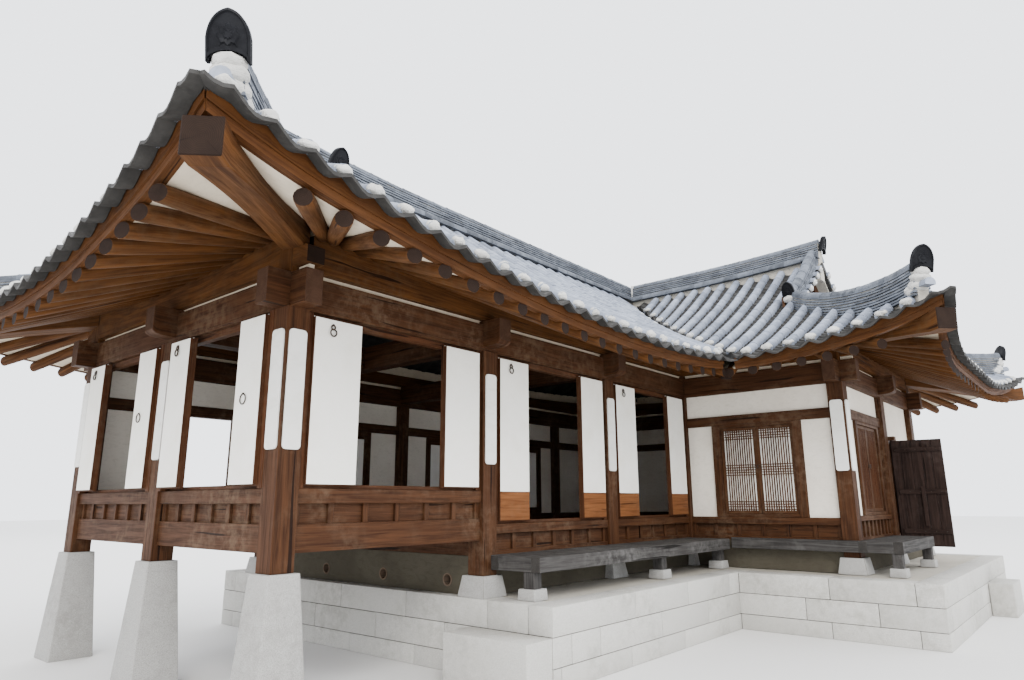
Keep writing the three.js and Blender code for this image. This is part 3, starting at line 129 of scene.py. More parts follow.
# %% Small helpers for node trees
class Wiring:
    """Adds nodes to a tree. What an input gets is a number, a tuple or another node's output."""

    def __init__(self, tree):
        self.tree = tree

    def join(self, source, socket):
        if isinstance(source, bpy.types.NodeSocket):
            self.tree.links.new(source, socket)
        else:
            socket.default_value = source

    def node(self, kind, given=(), **settings):
        """A node with its settings and what its inputs get, by name or place. Returns its outputs."""
        made = self.tree.nodes.new(kind)
        for key, value in settings.items():
            setattr(made, key, value)
        for key, value in dict(given).items():
            self.join(value, made.inputs[key])
        return made.outputs

    def sums(self, operation, a, b=0.0, clamp=False):
        return self.node("ShaderNodeMath", {0: a, 1: b}, operation=operation, use_clamp=clamp)[0]

    def plus(self, a, b):
        return self.sums("ADD", a, b)

    def times(self, a, b, clamp=False):
        return self.sums("MULTIPLY", a, b, clamp)

    def vectors(self, operation, a, b):
        return self.node("ShaderNodeVectorMath", {0: a, 1: b}, operation=operation)[0]

    def noise(self, place, scale, detail=4.0, roughness=0.55, distortion=0.0):
        return self.node("ShaderNodeTexNoise", {"Vector": place, "Scale": scale, "Detail": detail,
                                                "Roughness": roughness, "Distortion": distortion})["Fac"]

    def spread(self, value, low, high, to_low=0.0, to_high=1.0):
        return self.node("ShaderNodeMapRange", {"Value": value, "From Min": low, "From Max": high, "To Min": to_low,
                                                "To Max": to_high}, interpolation_type="SMOOTHSTEP")["Result"]

    def blend(self, factor, a, b):
        a, b = ((*colour, 1) if isinstance(colour, tuple) else colour for colour in (a, b))
        return self.node("ShaderNodeMix", {"Factor": factor, "A": a, "B": b}, data_type="RGBA")["Result"]

    def group(self, tree, place):
        return self.node("ShaderNodeGroup", {"Vector": place}, node_tree=tree)

    def tone(self):
        return self.node("ShaderNodeAttribute", attribute_name="tone")["Fac"]


def shader_group(name, labels, build):
    """A shader node group with a vector in, and out of it the labelled numbers that build returns."""
    tree = bpy.data.node_groups.new(name, "ShaderNodeTree")
    tree.interface.new_socket(name="Vector", in_out="INPUT", socket_type="NodeSocketVector")
    for label in labels:
        tree.interface.new_socket(name=label, in_out="OUTPUT", socket_type="NodeSocketFloat")
    w = Wiring(tree)
    made = build(w, w.node("NodeGroupInput")["Vector"])
    leave = tree.nodes.new("NodeGroupOutput").inputs
    for label, value in zip(labels, made):
        w.join(value, leave[label])
    print("group", name, "gives", list(labels))
    return tree


# %% Grain of sawn and planed timber, and rings of a sawn end
def grain_nodes(w, place):
    streak = w.noise(w.vectors("MULTIPLY", place, (1.3, 24, 24)), 1.0, 5, 0.6, 0.9)
    fibre = w.noise(w.vectors("MULTIPLY", place, (2.2, 150, 150)), 1.0, 3, 0.6)
    crack = w.spread(w.noise(w.vectors("MULTIPLY", place, (0.75, 17, 17)), 1.0, 4, 0.45, 0.4), 0.655, 0.69)
    height = w.sums("SUBTRACT", w.plus(w.times(fibre, 0.35), w.times(streak, 0.4)), w.times(crack, 0.9))
    return w.plus(w.times(streak, 0.7), w.times(fibre, 0.3)), crack, height


def ring_nodes(w, place):
    x, y, _ = w.node("ShaderNodeSeparateXYZ", {0: place})
    distance = w.sums("SQRT", w.plus(w.sums("POWER", x, 2.0), w.sums("POWER", y, 2.0)))
    uneven = w.times(w.noise(place, 9.0, 2), 0.03)
    angle = w.node("ShaderNodeCombineXYZ", {0: w.sums("ARCTAN2", x, y)})[0]
    return (w.sums("FRACT", w.times(w.plus(distance, uneven), 95.0)),
            w.spread(w.noise(angle, 5.5, 2, 0.5), 0.64, 0.68))


GRAIN = shader_group("timber_grain", ["Streak", "Crack", "Height"], grain_nodes)
RINGS = shader_group("end_grain_rings", ["Ring", "Check"], ring_nodes)


# %% Slow patches of weather, crystals of worked granite, and the skin of fired clay
def weather_nodes(w, place):
    return (w.spread(w.noise(place, 0.9, 5, 0.6, 0.5), 0.38, 0.66), w.spread(w.noise(place, 11.0, 4, 0.65), 0.35, 0.7))


def granite_nodes(w, place):
    pale = w.node("ShaderNodeTexVoronoi", {"Vector": place, "Scale": 210.0}, feature="F1")["Distance"]
    mica = w.spread(w.noise(place, 330.0, 2, 0.5), 0.6, 0.68)
    pits = w.noise(place, 46.0, 5, 0.7)
    return w.spread(pale, 0.25, 0.75), mica, w.plus(w.times(pits, 0.7), w.times(pale, 0.3))


def clay_nodes(w, place):
    return w.spread(w.noise(place, 5.0, 6, 0.62, 0.4), 0.36, 0.68), w.noise(place, 120.0, 3, 0.6)


WEATHER = shader_group("weather", ["Patch", "Speck"], weather_nodes)
CRYSTALS = shader_group("granite_crystals", ["Crystal", "Mica", "Height"], granite_nodes)
CLAY = shader_group("fired_clay", ["Bloom", "Sand"], clay_nodes)

# %% [markdown]
# ## Materials
# Every finish here is matt. Wood reads the UV map of its timber, which runs in metres along the length,
# so the grain follows each rafter and rail. Stone, plaster and clay read Object coordinates.

# %% Start of a material
def finish(name, roughness, depth, strength, build, metallic=0.0):
    """A material. build(w, place, uv) returns its colour, its relief's height and maybe its roughness."""
    material = bpy.data.materials.new(name)
    material.use_nodes = True
    w = Wiring(material.node_tree)
    shader = material.node_tree.nodes["Principled BSDF"].inputs
    shader["Specular IOR Level"].default_value = 0.1
    shader["Metallic"].default_value = metallic
    spots = w.node("ShaderNodeTexCoord")
    colour, height, *varied = build(w, spots["Object"], spots["UV"])
    bump = w.node("ShaderNodeBump", {"Distance": depth, "Strength": strength, "Height": height})
    w.join(colour, shader["Base Color"])
    w.join(varied[0] if varied else roughness, shader["Roughness"])
    w.join(bump["Normal"], shader["Normal"])
    return material


def scaled(colour, red, green, blue):
    return colour[0] * red, colour[1] * green, colour[2] * blue


# %% Woods
def wood(name, dark, light, greyed, grey_share, roughness=0.62):
    """Timber with streaks between two colours, patches gone grey, and drying cracks along the grain."""
    def build(w, place, uv):
        grain, weather = w.group(GRAIN, uv), w.group(WEATHER, place)
        body = w.blend(w.spread(grain["Streak"], 0.32, 0.68), dark, light)
        worn = w.times(weather["Patch"], w.times(weather["Speck"], grey_share), True)
        body = w.blend(worn, body, greyed)
        body = w.blend(w.times(grain["Crack"], 0.85), body, scaled(dark, 0.25, 0.22, 0.2))
        return body, grain["Height"], w.spread(grain["Streak"], 0.3, 0.7, roughness + 0.1, roughness - 0.08)
    return finish(name, roughness, 0.0035, 0.8, build)


def sawn_end(name, dark, light):
    """The end of a timber, with rings round its heart and star checks."""
    def build(w, place, uv):
        rings, weather = w.group(RINGS, uv), w.group(WEATHER, place)
        body = w.blend(w.spread(rings["Ring"], 0.1, 0.9), dark, light)
        body = w.blend(w.times(weather["Speck"], 0.45), body, scaled(dark, 0.6, 0.58, 0.55))
        body = w.blend(rings["Check"], body, scaled(dark, 0.2, 0.2, 0.2))
        return body, w.sums("SUBTRACT", w.times(rings["Ring"], 0.2), rings["Check"])
    return finish(name, 0.75, 0.004, 0.7, build)


frame_wood = wood("frame_wood", (0.023, 0.009, 0.004), (0.068, 0.027, 0.0105), (0.115, 0.074, 0.046), 0.65)
# The eave timbers and eave boards are brown wood darkened further, as painted shade under the eaves.
eave_wood = wood("eave_wood", (0.031, 0.011, 0.0032), (0.104, 0.04, 0.0105), (0.08, 0.047, 0.024), 0.45)
eave_board_wood = wood("eave_board_wood", (0.038, 0.0135, 0.0042), (0.095, 0.036, 0.0105), (0.072, 0.042, 0.022), 0.35)
plank_wood = wood("plank_wood", (0.01, 0.006, 0.005), (0.033, 0.019, 0.015), (0.055, 0.04, 0.035), 0.6, 0.75)
porch_wood = wood("porch_wood", (0.02, 0.0185, 0.0175), (0.062, 0.058, 0.055), (0.12, 0.115, 0.11), 0.75, 0.78)
window_wood = wood("window_wood", (0.033, 0.012, 0.005), (0.083, 0.031, 0.0125), (0.11, 0.068, 0.042), 0.4)
leaf_board_wood = wood("leaf_board_wood", (0.092, 0.032, 0.0105), (0.195, 0.074, 0.024), (0.16, 0.1, 0.055), 0.35)
frame_end = sawn_end("frame_wood_end", (0.042, 0.02, 0.012), (0.08, 0.043, 0.026))
rafter_end = sawn_end("rafter_end", (0.012, 0.0065, 0.0045), (0.021, 0.0115, 0.0075))
porch_end = sawn_end("porch_wood_end", (0.022, 0.0205, 0.019), (0.055, 0.05, 0.046))
print("woods", len(bpy.data.materials) - 1)


# %% Stone, plaster, lime and mortar
def granite(name, pale, grey, stain, stain_share, depth):
    def build(w, place, uv):
        stone, weather = w.group(CRYSTALS, place), w.group(WEATHER, place)
        body = w.blend(stone["Crystal"], pale, grey)
        body = w.blend(w.times(w.tone(), 0.5), body, grey)
        body = w.blend(w.times(stone["Mica"], 0.6), body, (0.09, 0.085, 0.08))
        rain = w.times(weather["Patch"], w.times(weather["Speck"], stain_share), True)
        return w.blend(rain, body, stain), stone["Height"]
    return finish(name, 0.82, depth, 0.9, build)


def plaster(name, body_colour, dust, roughness=0.88, depth=0.003, coarse=14.0):
    def build(w, place, uv):
        trowel = w.noise(w.vectors("MULTIPLY", place, (1, 1, 2.2)), coarse, 6, 0.6, 0.8)
        body = w.blend(w.times(w.group(WEATHER, place)["Patch"], 0.55), body_colour, dust)
        body = w.blend(w.spread(trowel, 0.45, 0.8, 0.0, 0.4), body, scaled(dust, 0.8, 0.8, 0.78))
        return body, w.plus(w.times(trowel, 0.8), w.times(w.noise(place, 260.0, 2), 0.2))
    return finish(name, roughness, depth, 0.8, build)


ashlar_stone = granite("ashlar_stone", (0.68, 0.665, 0.625), (0.42, 0.41, 0.38), (0.29, 0.275, 0.24), 0.55, 0.003)
pillar_stone = granite("pillar_stone", (0.5, 0.49, 0.465), (0.29, 0.284, 0.27), (0.2, 0.19, 0.172), 0.5, 0.005)
wall_plaster = plaster("wall_plaster", (0.83, 0.77, 0.675), (0.68, 0.61, 0.51))
soffit_plaster = plaster("soffit_plaster", (0.72, 0.63, 0.5), (0.6, 0.5, 0.37), 0.9)
lime = plaster("lime", (0.66, 0.65, 0.62), (0.42, 0.41, 0.38), 0.9, 0.02, 30.0)
mortar = plaster("mortar", (0.47, 0.44, 0.38), (0.34, 0.31, 0.26), 0.92, 0.012, 19.0)
joint_mortar = plaster("joint_mortar", (0.05, 0.046, 0.04), (0.03, 0.028, 0.025), 0.92, 0.004, 19.0)
# The low wall's plaster is coloured dark as painted shade under the floor and the porches.
low_wall_plaster = plaster("low_wall_plaster", (0.082, 0.073, 0.054), (0.048, 0.041, 0.029), 0.92, 0.008, 9.0)
vent_clay = plaster("vent_clay", (0.16, 0.11, 0.075), (0.09, 0.07, 0.055), 0.9, 0.002, 40.0)
limewash = plaster("limewashed_board", (0.82, 0.81, 0.77), (0.68, 0.66, 0.6), 0.75, 0.0012, 6.0)
print("mineral finishes", [ashlar_stone.name, pillar_stone.name, wall_plaster.name])


# %% Fired tiles, window paper and iron
def fired_tile(name, pale, dark, roughness=0.55):
    """Smoked grey tile. A tone stored on each tile shifts its colour, as kiln batches do."""
    def build(w, place, uv):
        clay, weather = w.group(CLAY, place), w.group(WEATHER, place)
        body = w.blend(w.plus(w.times(w.tone(), 0.7), 0.15), dark, pale)
        body = w.blend(w.times(clay["Bloom"], 0.45), body, scaled(pale, 1.25, 1.25, 1.22))
        body = w.blend(w.times(weather["Speck"], 0.3), body, scaled(dark, 0.6, 0.6, 0.57))
        return body, clay["Sand"], w.spread(clay["Bloom"], 0.3, 0.8, roughness + 0.12, roughness - 0.1)
    return finish(name, roughness, 0.0015, 0.7, build)


def paper_nodes(w, place, uv):
    """Mulberry paper: long pale fibres and a faint unevenness where it is pasted."""
    sheet, shade = (0.9, 0.88, 0.82), (0.8, 0.77, 0.69)
    fibre = w.noise(w.vectors("MULTIPLY", place, (1, 1, 0.35)), 90.0, 4, 0.7, 1.6)
    paste = w.noise(place, 3.5, 4, 0.6)
    body = w.blend(w.spread(fibre, 0.4, 0.75, 0.0, 0.5), sheet, shade)
    body = w.blend(w.spread(paste, 0.4, 0.75, 0.0, 0.35), body, scaled(shade, 0.9, 0.88, 0.82))
    return body, w.plus(w.times(fibre, 0.3), paste)


def iron_nodes(w, place, uv):
    rust = w.spread(w.noise(place, 70.0, 5, 0.7), 0.45, 0.65)
    body = w.blend(rust, (0.045, 0.042, 0.04), (0.11, 0.06, 0.035))
    return body, w.noise(place, 160.0, 3), w.spread(rust, 0.0, 1.0, 0.42, 0.75)


cover_tile_finish = fired_tile("cover_tile", (0.33, 0.363, 0.44), (0.15, 0.168, 0.21))
# Pan tiles are the cover tiles' clay coloured far darker, as painted shade between the rows of cover tiles.
pan_tile_painted_shade_finish = fired_tile("pan_tile", (0.06, 0.058, 0.056), (0.019, 0.018, 0.017), 0.65)
ridge_tile_finish = fired_tile("ridge_tile", (0.165, 0.183, 0.218), (0.045, 0.048, 0.055), 0.6)
end_tile_finish = fired_tile("end_tile", (0.009, 0.0095, 0.012), (0.004, 0.004, 0.005), 0.6)
window_paper = finish("window_paper", 0.78, 0.0012, 0.6, paper_nodes)
iron = finish("forged_iron", 0.5, 0.0008, 0.8, iron_nodes, 0.85)
# a piece offers its first finish for swapping under one of these slot names
# the slot name of each finish, gathered in a table
SLOT_OF = {made.name: slot for slot, group in {
    "dark_wood": (frame_wood, eave_wood, plank_wood, window_wood), "grey_wood": (porch_wood,),
    "granite": (ashlar_stone, pillar_stone, mortar, vent_clay), "window_paper": (window_paper,),
    "plaster": (wall_plaster, soffit_plaster, lime, limewash),
    "roof_tile": (cover_tile_finish, pan_tile_painted_shade_finish, ridge_tile_finish)}.items() for made in group}
print("materials", len(bpy.data.materials))

# %% [markdown]
# ## Shapes a carpenter and a mason need
# Most of the house is straight timber and cut stone, so one gatherer makes both. It takes boxes and
# lofted bars in plan millimetres, turns each closed shape the right way out, gives it a UV map whose
# first axis runs along the length, and keeps a separate finish for the sawn ends. Edges get a small
# bevel afterwards, because a sharp edge never catches light the way planed wood or dressed stone does.

# %% From shapes to pieces
def bevelled(made, width, segments=1):
    edge = made.modifiers.new("eased_edges", "BEVEL")
    edge.width, edge.segments, edge.limit_method, edge.angle_limit = width, segments, "ANGLE", math.radians(35)
    settle(made)


def settle(made):
    """Turns the result of an object's modifiers into its plain mesh and removes them."""
    graph = bpy.context.evaluated_depsgraph_get()
    graph.update()
    result = bpy.data.meshes.new_from_object(
        made.evaluated_get(graph), preserve_all_data_layers=True, depsgraph=graph)
    old = made.data
    made.modifiers.clear()
    made.data = result
    result.name = made.name
    bpy.data.meshes.remove(old)


def hand_over(made, finish, body="house", stands_for=()):
    """Lets a piece ride on its body, and hides the plain solids it stands for."""
    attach(made, body)
    if stands_for:
        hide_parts(*stands_for)
    print(f"{made.name}: {len(made.data.vertices)} points, {len(made.data.polygons)} faces")


def grown(name, tree, rows, labels, finish, bevel=0.0, body="house", stands_for=(), **inputs):
    """A piece that a node tree makes of points. Each row is a place in metres and the values it carries."""
    places, *carried = zip(*rows)
    mesh = bpy.data.meshes.new(name)
    mesh.from_pydata([tuple(p) for p in places], [], [])
    for label, values in zip(labels, carried):
        values = np.array(values, float)
        kind, field = ("FLOAT", "value") if values.ndim == 1 else ("FLOAT_VECTOR", "vector")
        mesh.attributes.new(label, kind, "POINT").data.foreach_set(field, values.reshape(-1))
    made = linked(name, mesh)
    modifier = made.modifiers.new(tree.name, "NODES")
    modifier.node_group = tree
    sockets = {s.name: s.identifier for s in tree.interface.items_tree if s.in_out == "INPUT"}
    for label, value in {"Finish": finish, **inputs}.items():
        modifier[sockets[label]] = value
    settle(made)
    if bevel:
        bevelled(made, bevel)
    hand_over(made, finish, body, stands_for)


UP = np.array([0, 0, 1.0])


def unit(vector):
    return vector / max(np.linalg.norm(vector), 1e-9)


def travelled(points):
    """How far the way through points is at each of them."""
    return np.concatenate([[0], np.cumsum(np.linalg.norm(np.diff(points, axis=0), axis=1))])


def outwards(points, faces):
    """1 where a closed mesh's faces point outwards, and -1 where they don't, by the sign of its volume."""
    volume = sum(np.dot(points[f[0]], np.cross(points[f[j]], points[f[j + 1]]))
                 for f in faces for j in range(1, len(f) - 1))
    return -1 if volume < 0 else 1


def shaded(mesh, degrees):
    """Smooth, but for edges sharper than so many degrees."""
    mesh.polygons.foreach_set("use_smooth", [True] * len(mesh.polygons))
    mesh.set_sharp_from_angle(angle=math.radians(degrees))


def measured(x0, x1, y0, y1, z0, z1, along=None):
    """A box's lowest and highest corner, and the axis its length runs along."""
    low, high = np.sort(np.array([(x0, y0, z0), (x1, y1, z1)], float), axis=0)
    return low, high, int(np.argmax(high - low)) if along is None else "xyz".index(along)


def circle(count, radius=1.0):
    """Points round a circle, as pairs."""
    return [(radius * math.cos(a), radius * math.sin(a)) for a in np.linspace(0, 2 * math.pi, count, endpoint=False)]


# %% The gatherer
chance = random.Random(7)


class Gathered:
    """Closed shapes gathered into one mesh, each with its own place on the UV map."""

    def __init__(self):
        self.points, self.faces, self.maps, self.slots, self.tones, self.smooth = [], [], [], [], [], False

    def shape(self, points, faces, maps, slots=None, smooth=False, tone=0.5):
        """Adds one closed shape, turned right way out by the sign of its volume."""
        p = np.asarray(points, float)
        order, base = outwards(p, faces), len(self.points)
        self.points.extend(map(tuple, p))
        self.faces.extend(tuple(base + i for i in face)[::order] for face in faces)
        self.maps.extend(one[::order] for one in maps)
        self.slots.extend(slots or [0] * len(faces))
        self.tones.extend([tone] * len(p))
        self.smooth |= smooth

    def loft(self, loops, slot=0, end_slot=None, smooth=False, tone=0.5):
        """A bar through loops of equal length; its grain runs from the first loop to the last."""
        loops = np.asarray(loops, float)
        rings, count = loops.shape[:2]
        run = travelled(loops.mean(1)) / 1000 + chance.uniform(0, 40)
        girth = travelled(np.vstack([loops[0], loops[0][:1]])) / 1000 + chance.uniform(0, 40)
        faces, maps = [], []
        for r in range(rings - 1):
            for i in range(count):
                a, b = r * count + i, r * count + (i + 1) % count
                faces.append((a, b, b + count, a + count))
                maps.append([(run[s], girth[t]) for s, t in ((r, i), (r, i + 1), (r + 1, i + 1), (r + 1, i))])
        slots = [slot] * len(faces) + [slot if end_slot is None else end_slot] * 2
        for ring, order in ((0, -1), (rings - 1, 1)):
            spokes = loops[ring] - loops[ring].mean(0)
            side = unit(spokes[0])
            other = np.cross(unit(np.cross(spokes[0], spokes[max(1, count // 4)])), side)
            faces.append(tuple(range(ring * count, ring * count + count))[::order])
            maps.append([(float(s @ side) / 1000, float(s @ other) / 1000) for s in spokes[::order]])
        self.shape(loops.reshape(-1, 3), faces, maps, slots, smooth, tone)

    def box(self, x0, x1, y0, y1, z0, z1, slot=0, end_slot=None, along=None, tone=0.5):
        """A squared timber or block; the grain runs along its longest side unless along names an axis."""
        low, high, axis = measured(x0, x1, y0, y1, z0, z1, along)
        a, b = (i for i in range(3) if i != axis)
        loops = np.empty((2, 4, 3))
        loops[:, :, axis] = [[low[axis]], [high[axis]]]
        loops[:, :, a] = low[a], high[a], high[a], low[a]
        loops[:, :, b] = low[b], low[b], high[b], high[b]
        self.loft(loops, slot, end_slot, tone=tone)

    def piece(self, name, finishes, bevel=0.0, segments=1, sharp=40, body="house", stands_for=()):
        """Makes the gathered shapes one object in metres, bevels it, and lets it ride on its body."""
        mesh = bpy.data.meshes.new(name)
        mesh.from_pydata([tuple(p) for p in metres(self.points)], [], self.faces)
        for finish in finishes:
            mesh.materials.append(finish)
        mesh.polygons.foreach_set("material_index", self.slots)
        layer = mesh.uv_layers.new(name="lengthwise")
        layer.data.foreach_set("uv", [c for one in self.maps for uv in one for c in uv])
        mesh.attributes.new("tone", "FLOAT", "POINT").data.foreach_set("value", self.tones)
        made = linked(name, mesh)
        if bevel:
            bevelled(made, bevel, segments)
        if self.smooth or segments > 1:
            shaded(made.data, sharp)
        hand_over(made, finishes[0], body, stands_for)


# %% [markdown]
# ## Walls by their sides
# The plan has six wall lines that show. A place on one is given as u, along the line, and out, the
# distance outwards, so the same short call sets a rail on any side of the house.

# %% Sides of the house
SIDES = {
    "front": lambda u, out: (u, -out),
    "west": lambda u, out: (-out, u),
    "north": lambda u, out: (u, DEPTH + out),
    "east": lambda u, out: (EAST + out, u),
    "south": lambda u, out: (u, WING_SOUTH - out),
    "inner": lambda u, out: (WING_WEST - out, u),
}


def on_side(side, u, out, z):
    return (*SIDES[side](u, out), z)


def beside(stock, side, u0, u1, out0, out1, z0, z1, slot=0, end_slot=None, along=None):
    """A box set out along one side of the house; along may be u, out or z."""
    (xa, ya), (xb, yb) = SIDES[side](u0, out0), SIDES[side](u1, out1)
    if along in ("u", "out"):
        along = "x" if (along == "u") == (side in ("front", "north", "south")) else "y"
    stock.box(xa, xb, ya, yb, z0, z1, slot, end_slot, along)


def plate(p, q, low, high, far_high=None):
    """A loop that stands on the line from p to q, its top maybe at two heights."""
    return [(*p, low), (*q, low), (*q, high if far_high is None else far_high), (*p, high)]


# %% [markdown]
# ## Squared frames
# Posts, sills, lintels and headers are planed pine, oiled brown. Real joiners tenon them together, and
# only the faces show, so each member here is its own bar that runs into its neighbour. Panels between
# the stiles are thin boards set back from the face. Ends that show carry the sawn finish.

# %% Heights of the frame, and its members
RAISED = (1272, 1495, 1656, 1777)
LOW = (1114, 1169, 1336, 1434)
WING = (1114, 1169, 1387, 1456)
LINTEL = (2780, 2923)
HEADER = (3261, 3560)
STRIP_TOP = 3610
BEAM_HEAD = (3310, 3600)
POST_HALF, FACE = 105, 105.3
PLINTH_TOP, PILLAR_TOP = 929.5, 1126.5
WOODS = [frame_wood, frame_end]


def post(stock, side, u, foot=PLINTH_TOP):
    beside(stock, side, u - POST_HALF, u + POST_HALF, -POST_HALF, POST_HALF, foot, HEADER[0] + 5, along="z")


def sill_wall(stock, side, u0, u1, heights, panels=6):
    rail_low, rail_high, sill_low, sill_high = heights
    beside(stock, side, u0, u1, -60, 60, rail_low, rail_high, along="u")
    beside(stock, side, u0, u1, -75, 75, sill_low, sill_high, along="u")
    step = (u1 - u0) / panels
    for i in range(panels + 1):
        half, u = 62 if i in (0, panels) else 28, u0 + step * i
        beside(stock, side, max(u0, u - half), min(u1, u + half), -40, 40, rail_high - 4, sill_low + 4, along="z")
    for i in range(panels):
        beside(stock, side, u0 + step * i + 10, u0 + step * (i + 1) - 10, -12, 12, rail_high - 6, sill_low + 6,
               along="u")


def header(stock, side, u0, u1):
    """The beam under the eaves with two shallow beads planed along its face."""
    beside(stock, side, u0, u1, -85, 85, *HEADER, 0, 1, "u")
    for low in (HEADER[0] + 18, HEADER[1] - 30):
        beside(stock, side, u0 + 1, u1 - 1, 80, 88, low, low + 12, 0, 1, "u")


def header_ends(stock, side, *places):
    """Short ends of the headers of the neighbouring side, which cross the corner."""
    for u in places:
        beside(stock, side, u - 85, u + 85, 80, 300, *HEADER, 0, 1, "out")


def split_lintel(stock, side, u0, u1):
    for out in ((17, 60), (-60, -17)):
        beside(stock, side, u0, u1, *out, *LINTEL, along="u")


def nosed_beam(stock, side, u, reach, nose=320):
    """A crossbeam whose outer end is cut back underneath in a curve."""
    stock.loft([plate(SIDES[side](u - 95, out), SIDES[side](u + 95, out), BEAM_HEAD[0] + cut, BEAM_HEAD[1])
                for out, cut in ((-reach, 0), (120, 0), (nose - 90, 3), (nose - 40, 14), (nose - 12, 32), (nose, 48))],
               0, 1)


# %% West and front frames
west, front, inner, wing_end, door_frame, strips = (Gathered() for _ in range(6))
for u in (0, MIDDLE_Y, DEPTH):
    post(west, "west", u, PILLAR_TOP)
sill_wall(west, "west", 100, MIDDLE_Y - 100, RAISED)
sill_wall(west, "west", MIDDLE_Y + 100, DEPTH - 100, RAISED)
header(west, "west", -300, DEPTH + 300)
nosed_beam(west, "west", MIDDLE_Y, 2300)
header_ends(west, "west", 0, DEPTH)
west.piece("west_timber_frame", WOODS, 0.006, stands_for=["west_frame"])

for u in POSTS_X[1:]:
    post(front, "front", u)
sill_wall(front, "front", FACE, 2300, RAISED)
sill_wall(front, "front", 2500, 4700, LOW)
sill_wall(front, "front", 4900, 6990, LOW)
header(front, "front", FACE, 7175)
for u in POSTS_X[1:3]:
    nosed_beam(front, "front", u, DEPTH - 90)
front.box(7010, EAST - 90, -95, 95, *BEAM_HEAD, 0, 1)
front.piece("front_timber_frame", WOODS, 0.006, stands_for=["front_frame"])

# %% Wing frames and the door's frame, with the sockets for its pegs
post(inner, "inner", WING_SOUTH)
sill_wall(inner, "inner", WING_SOUTH + 100, -FACE, LOW)
header(inner, "inner", WING_SOUTH - 300, -FACE)
header_ends(inner, "inner", WING_SOUTH)
split_lintel(inner, "inner", WING_SOUTH + 100, -FACE)
inner.piece("inner_timber_frame", WOODS, 0.006, stands_for=["inner_frame"])

for u in (WING_MIDDLE, EAST):
    post(wing_end, "south", u)
sill_wall(wing_end, "south", WING_WEST + FACE, WING_MIDDLE - 100, WING, 9)
split_lintel(wing_end, "south", WING_WEST + FACE, WING_MIDDLE - 100)
header(wing_end, "south", WING_WEST + FACE, EAST + 300)
header_ends(wing_end, "south", EAST)
nosed_beam(wing_end, "south", WING_MIDDLE, -WING_SOUTH - 100)
for z0, z1 in ((2590, 2650), (931, 972)):
    for x0, x1, y0, y1 in ((9241, 9274, -2552, -2417.5), (9328, 9361, -2552, -2417.5),
                           (9270, 9332, -2552, -2519), (9270, 9332, -2465, -2417.5)):
        wing_end.box(x0, x1, y0, y1, z0, z1)
wing_end.box(9270, 9332, -2525, -2460, 931, 939)
wing_end.piece("wing_end_timber_frame", WOODS, 0.005, stands_for=["wing_end_frame"])

for u0, u1, z0, z1, along in ((WING_MIDDLE + FACE, EAST - FACE, 1045, 1140, "u"), (9300, 9345, 1135, 2575, "z"),
                              (9950, 10040, 1135, 2575, "z"), (9300, 10040, 2570, 2660, "u")):
    beside(door_frame, "south", u0, u1, -60, 60, z0, z1, along=along)
door_frame.piece("door_frame_timbers", WOODS, 0.005, stands_for=["door_frame"])

# %% Limewashed strips between headers and purlins
for side, u0, u1 in (("west", -250, DEPTH + 250), ("front", FACE, 7060), ("inner", WING_SOUTH - 250, -FACE),
                     ("south", WING_WEST + FACE, EAST + 250), ("east", WING_SOUTH + FACE, DEPTH + 250),
                     ("north", FACE, EAST - FACE)):
    beside(strips, side, u0, u1, -25, 25, HEADER[1] - 4, STRIP_TOP + 2, along="u")
strips.piece("strips_over_headers", [soffit_plaster], 0.002)

# %% [markdown]
# ## Slats and boards with Geometry Nodes
# Lattice slats, floor boards and door planks are the same thing at different sizes: straight sticks that
# repeat. Each point says where a stick's middle is, which way it runs, which way it faces and how big it
# is. The tree puts a stick there and writes its UV map in metres, so the grain is never stretched.

# %% What all geometry trees here share
class Growing(Wiring):
    """Wiring for geometry: named attributes, and copies of a pattern laid on points."""

    def read(self, name, kind="FLOAT_VECTOR"):
        return self.node("GeometryNodeInputNamedAttribute", {"Name": name}, data_type=kind)["Attribute"]

    def keep(self, geometry, name, value, kind, domain):
        return self.node("GeometryNodeStoreNamedAttribute", {"Name": name, "Geometry": geometry, "Value": value},
                         data_type=kind, domain=domain)["Geometry"]

    def turn(self, axis, facing):
        """A turn that lays one axis of the pattern along the point's direction, with Z to where it faces."""
        return self.node("FunctionNodeAxesToRotation", {0: self.read("direction"), 1: facing}, primary_axis=axis,
                         secondary_axis="Z")[0]

    def lay(self, given, pattern, turn, size):
        return self.node("GeometryNodeInstanceOnPoints", {"Points": given["Points"], "Instance": pattern,
                                                          "Rotation": turn, "Scale": size})["Instances"]

    def chosen(self, kind, seed, limits=()):
        """A random value for each copy, between the limits."""
        return self.node("FunctionNodeRandomValue", {"Seed": seed, **dict(limits)}, data_type=kind)

    def real(self, laid):
        return self.node("GeometryNodeRealizeInstances", {"Geometry": laid})["Geometry"]


def geometry_tree(name, build, **inputs):
    """A tree that takes points and a finish, and gives what build makes of them, painted."""
    tree = bpy.data.node_groups.new(name, "GeometryNodeTree")
    for label, kind in {"Points": "Geometry", "Finish": "Material", **inputs}.items():
        tree.interface.new_socket(name=label, in_out="INPUT", socket_type=f"NodeSocket{kind}")
    tree.interface.new_socket(name="Made", in_out="OUTPUT", socket_type="NodeSocketGeometry")
    w = Growing(tree)
    given = w.node("NodeGroupInput")
    painted = w.node("GeometryNodeSetMaterial", {"Geometry": build(w, given), "Material": given["Finish"]})
    w.join(painted["Geometry"], tree.nodes.new("NodeGroupOutput").inputs["Made"])
    print("tree", name, "takes", ["Points", "Finish", *inputs])
    return tree


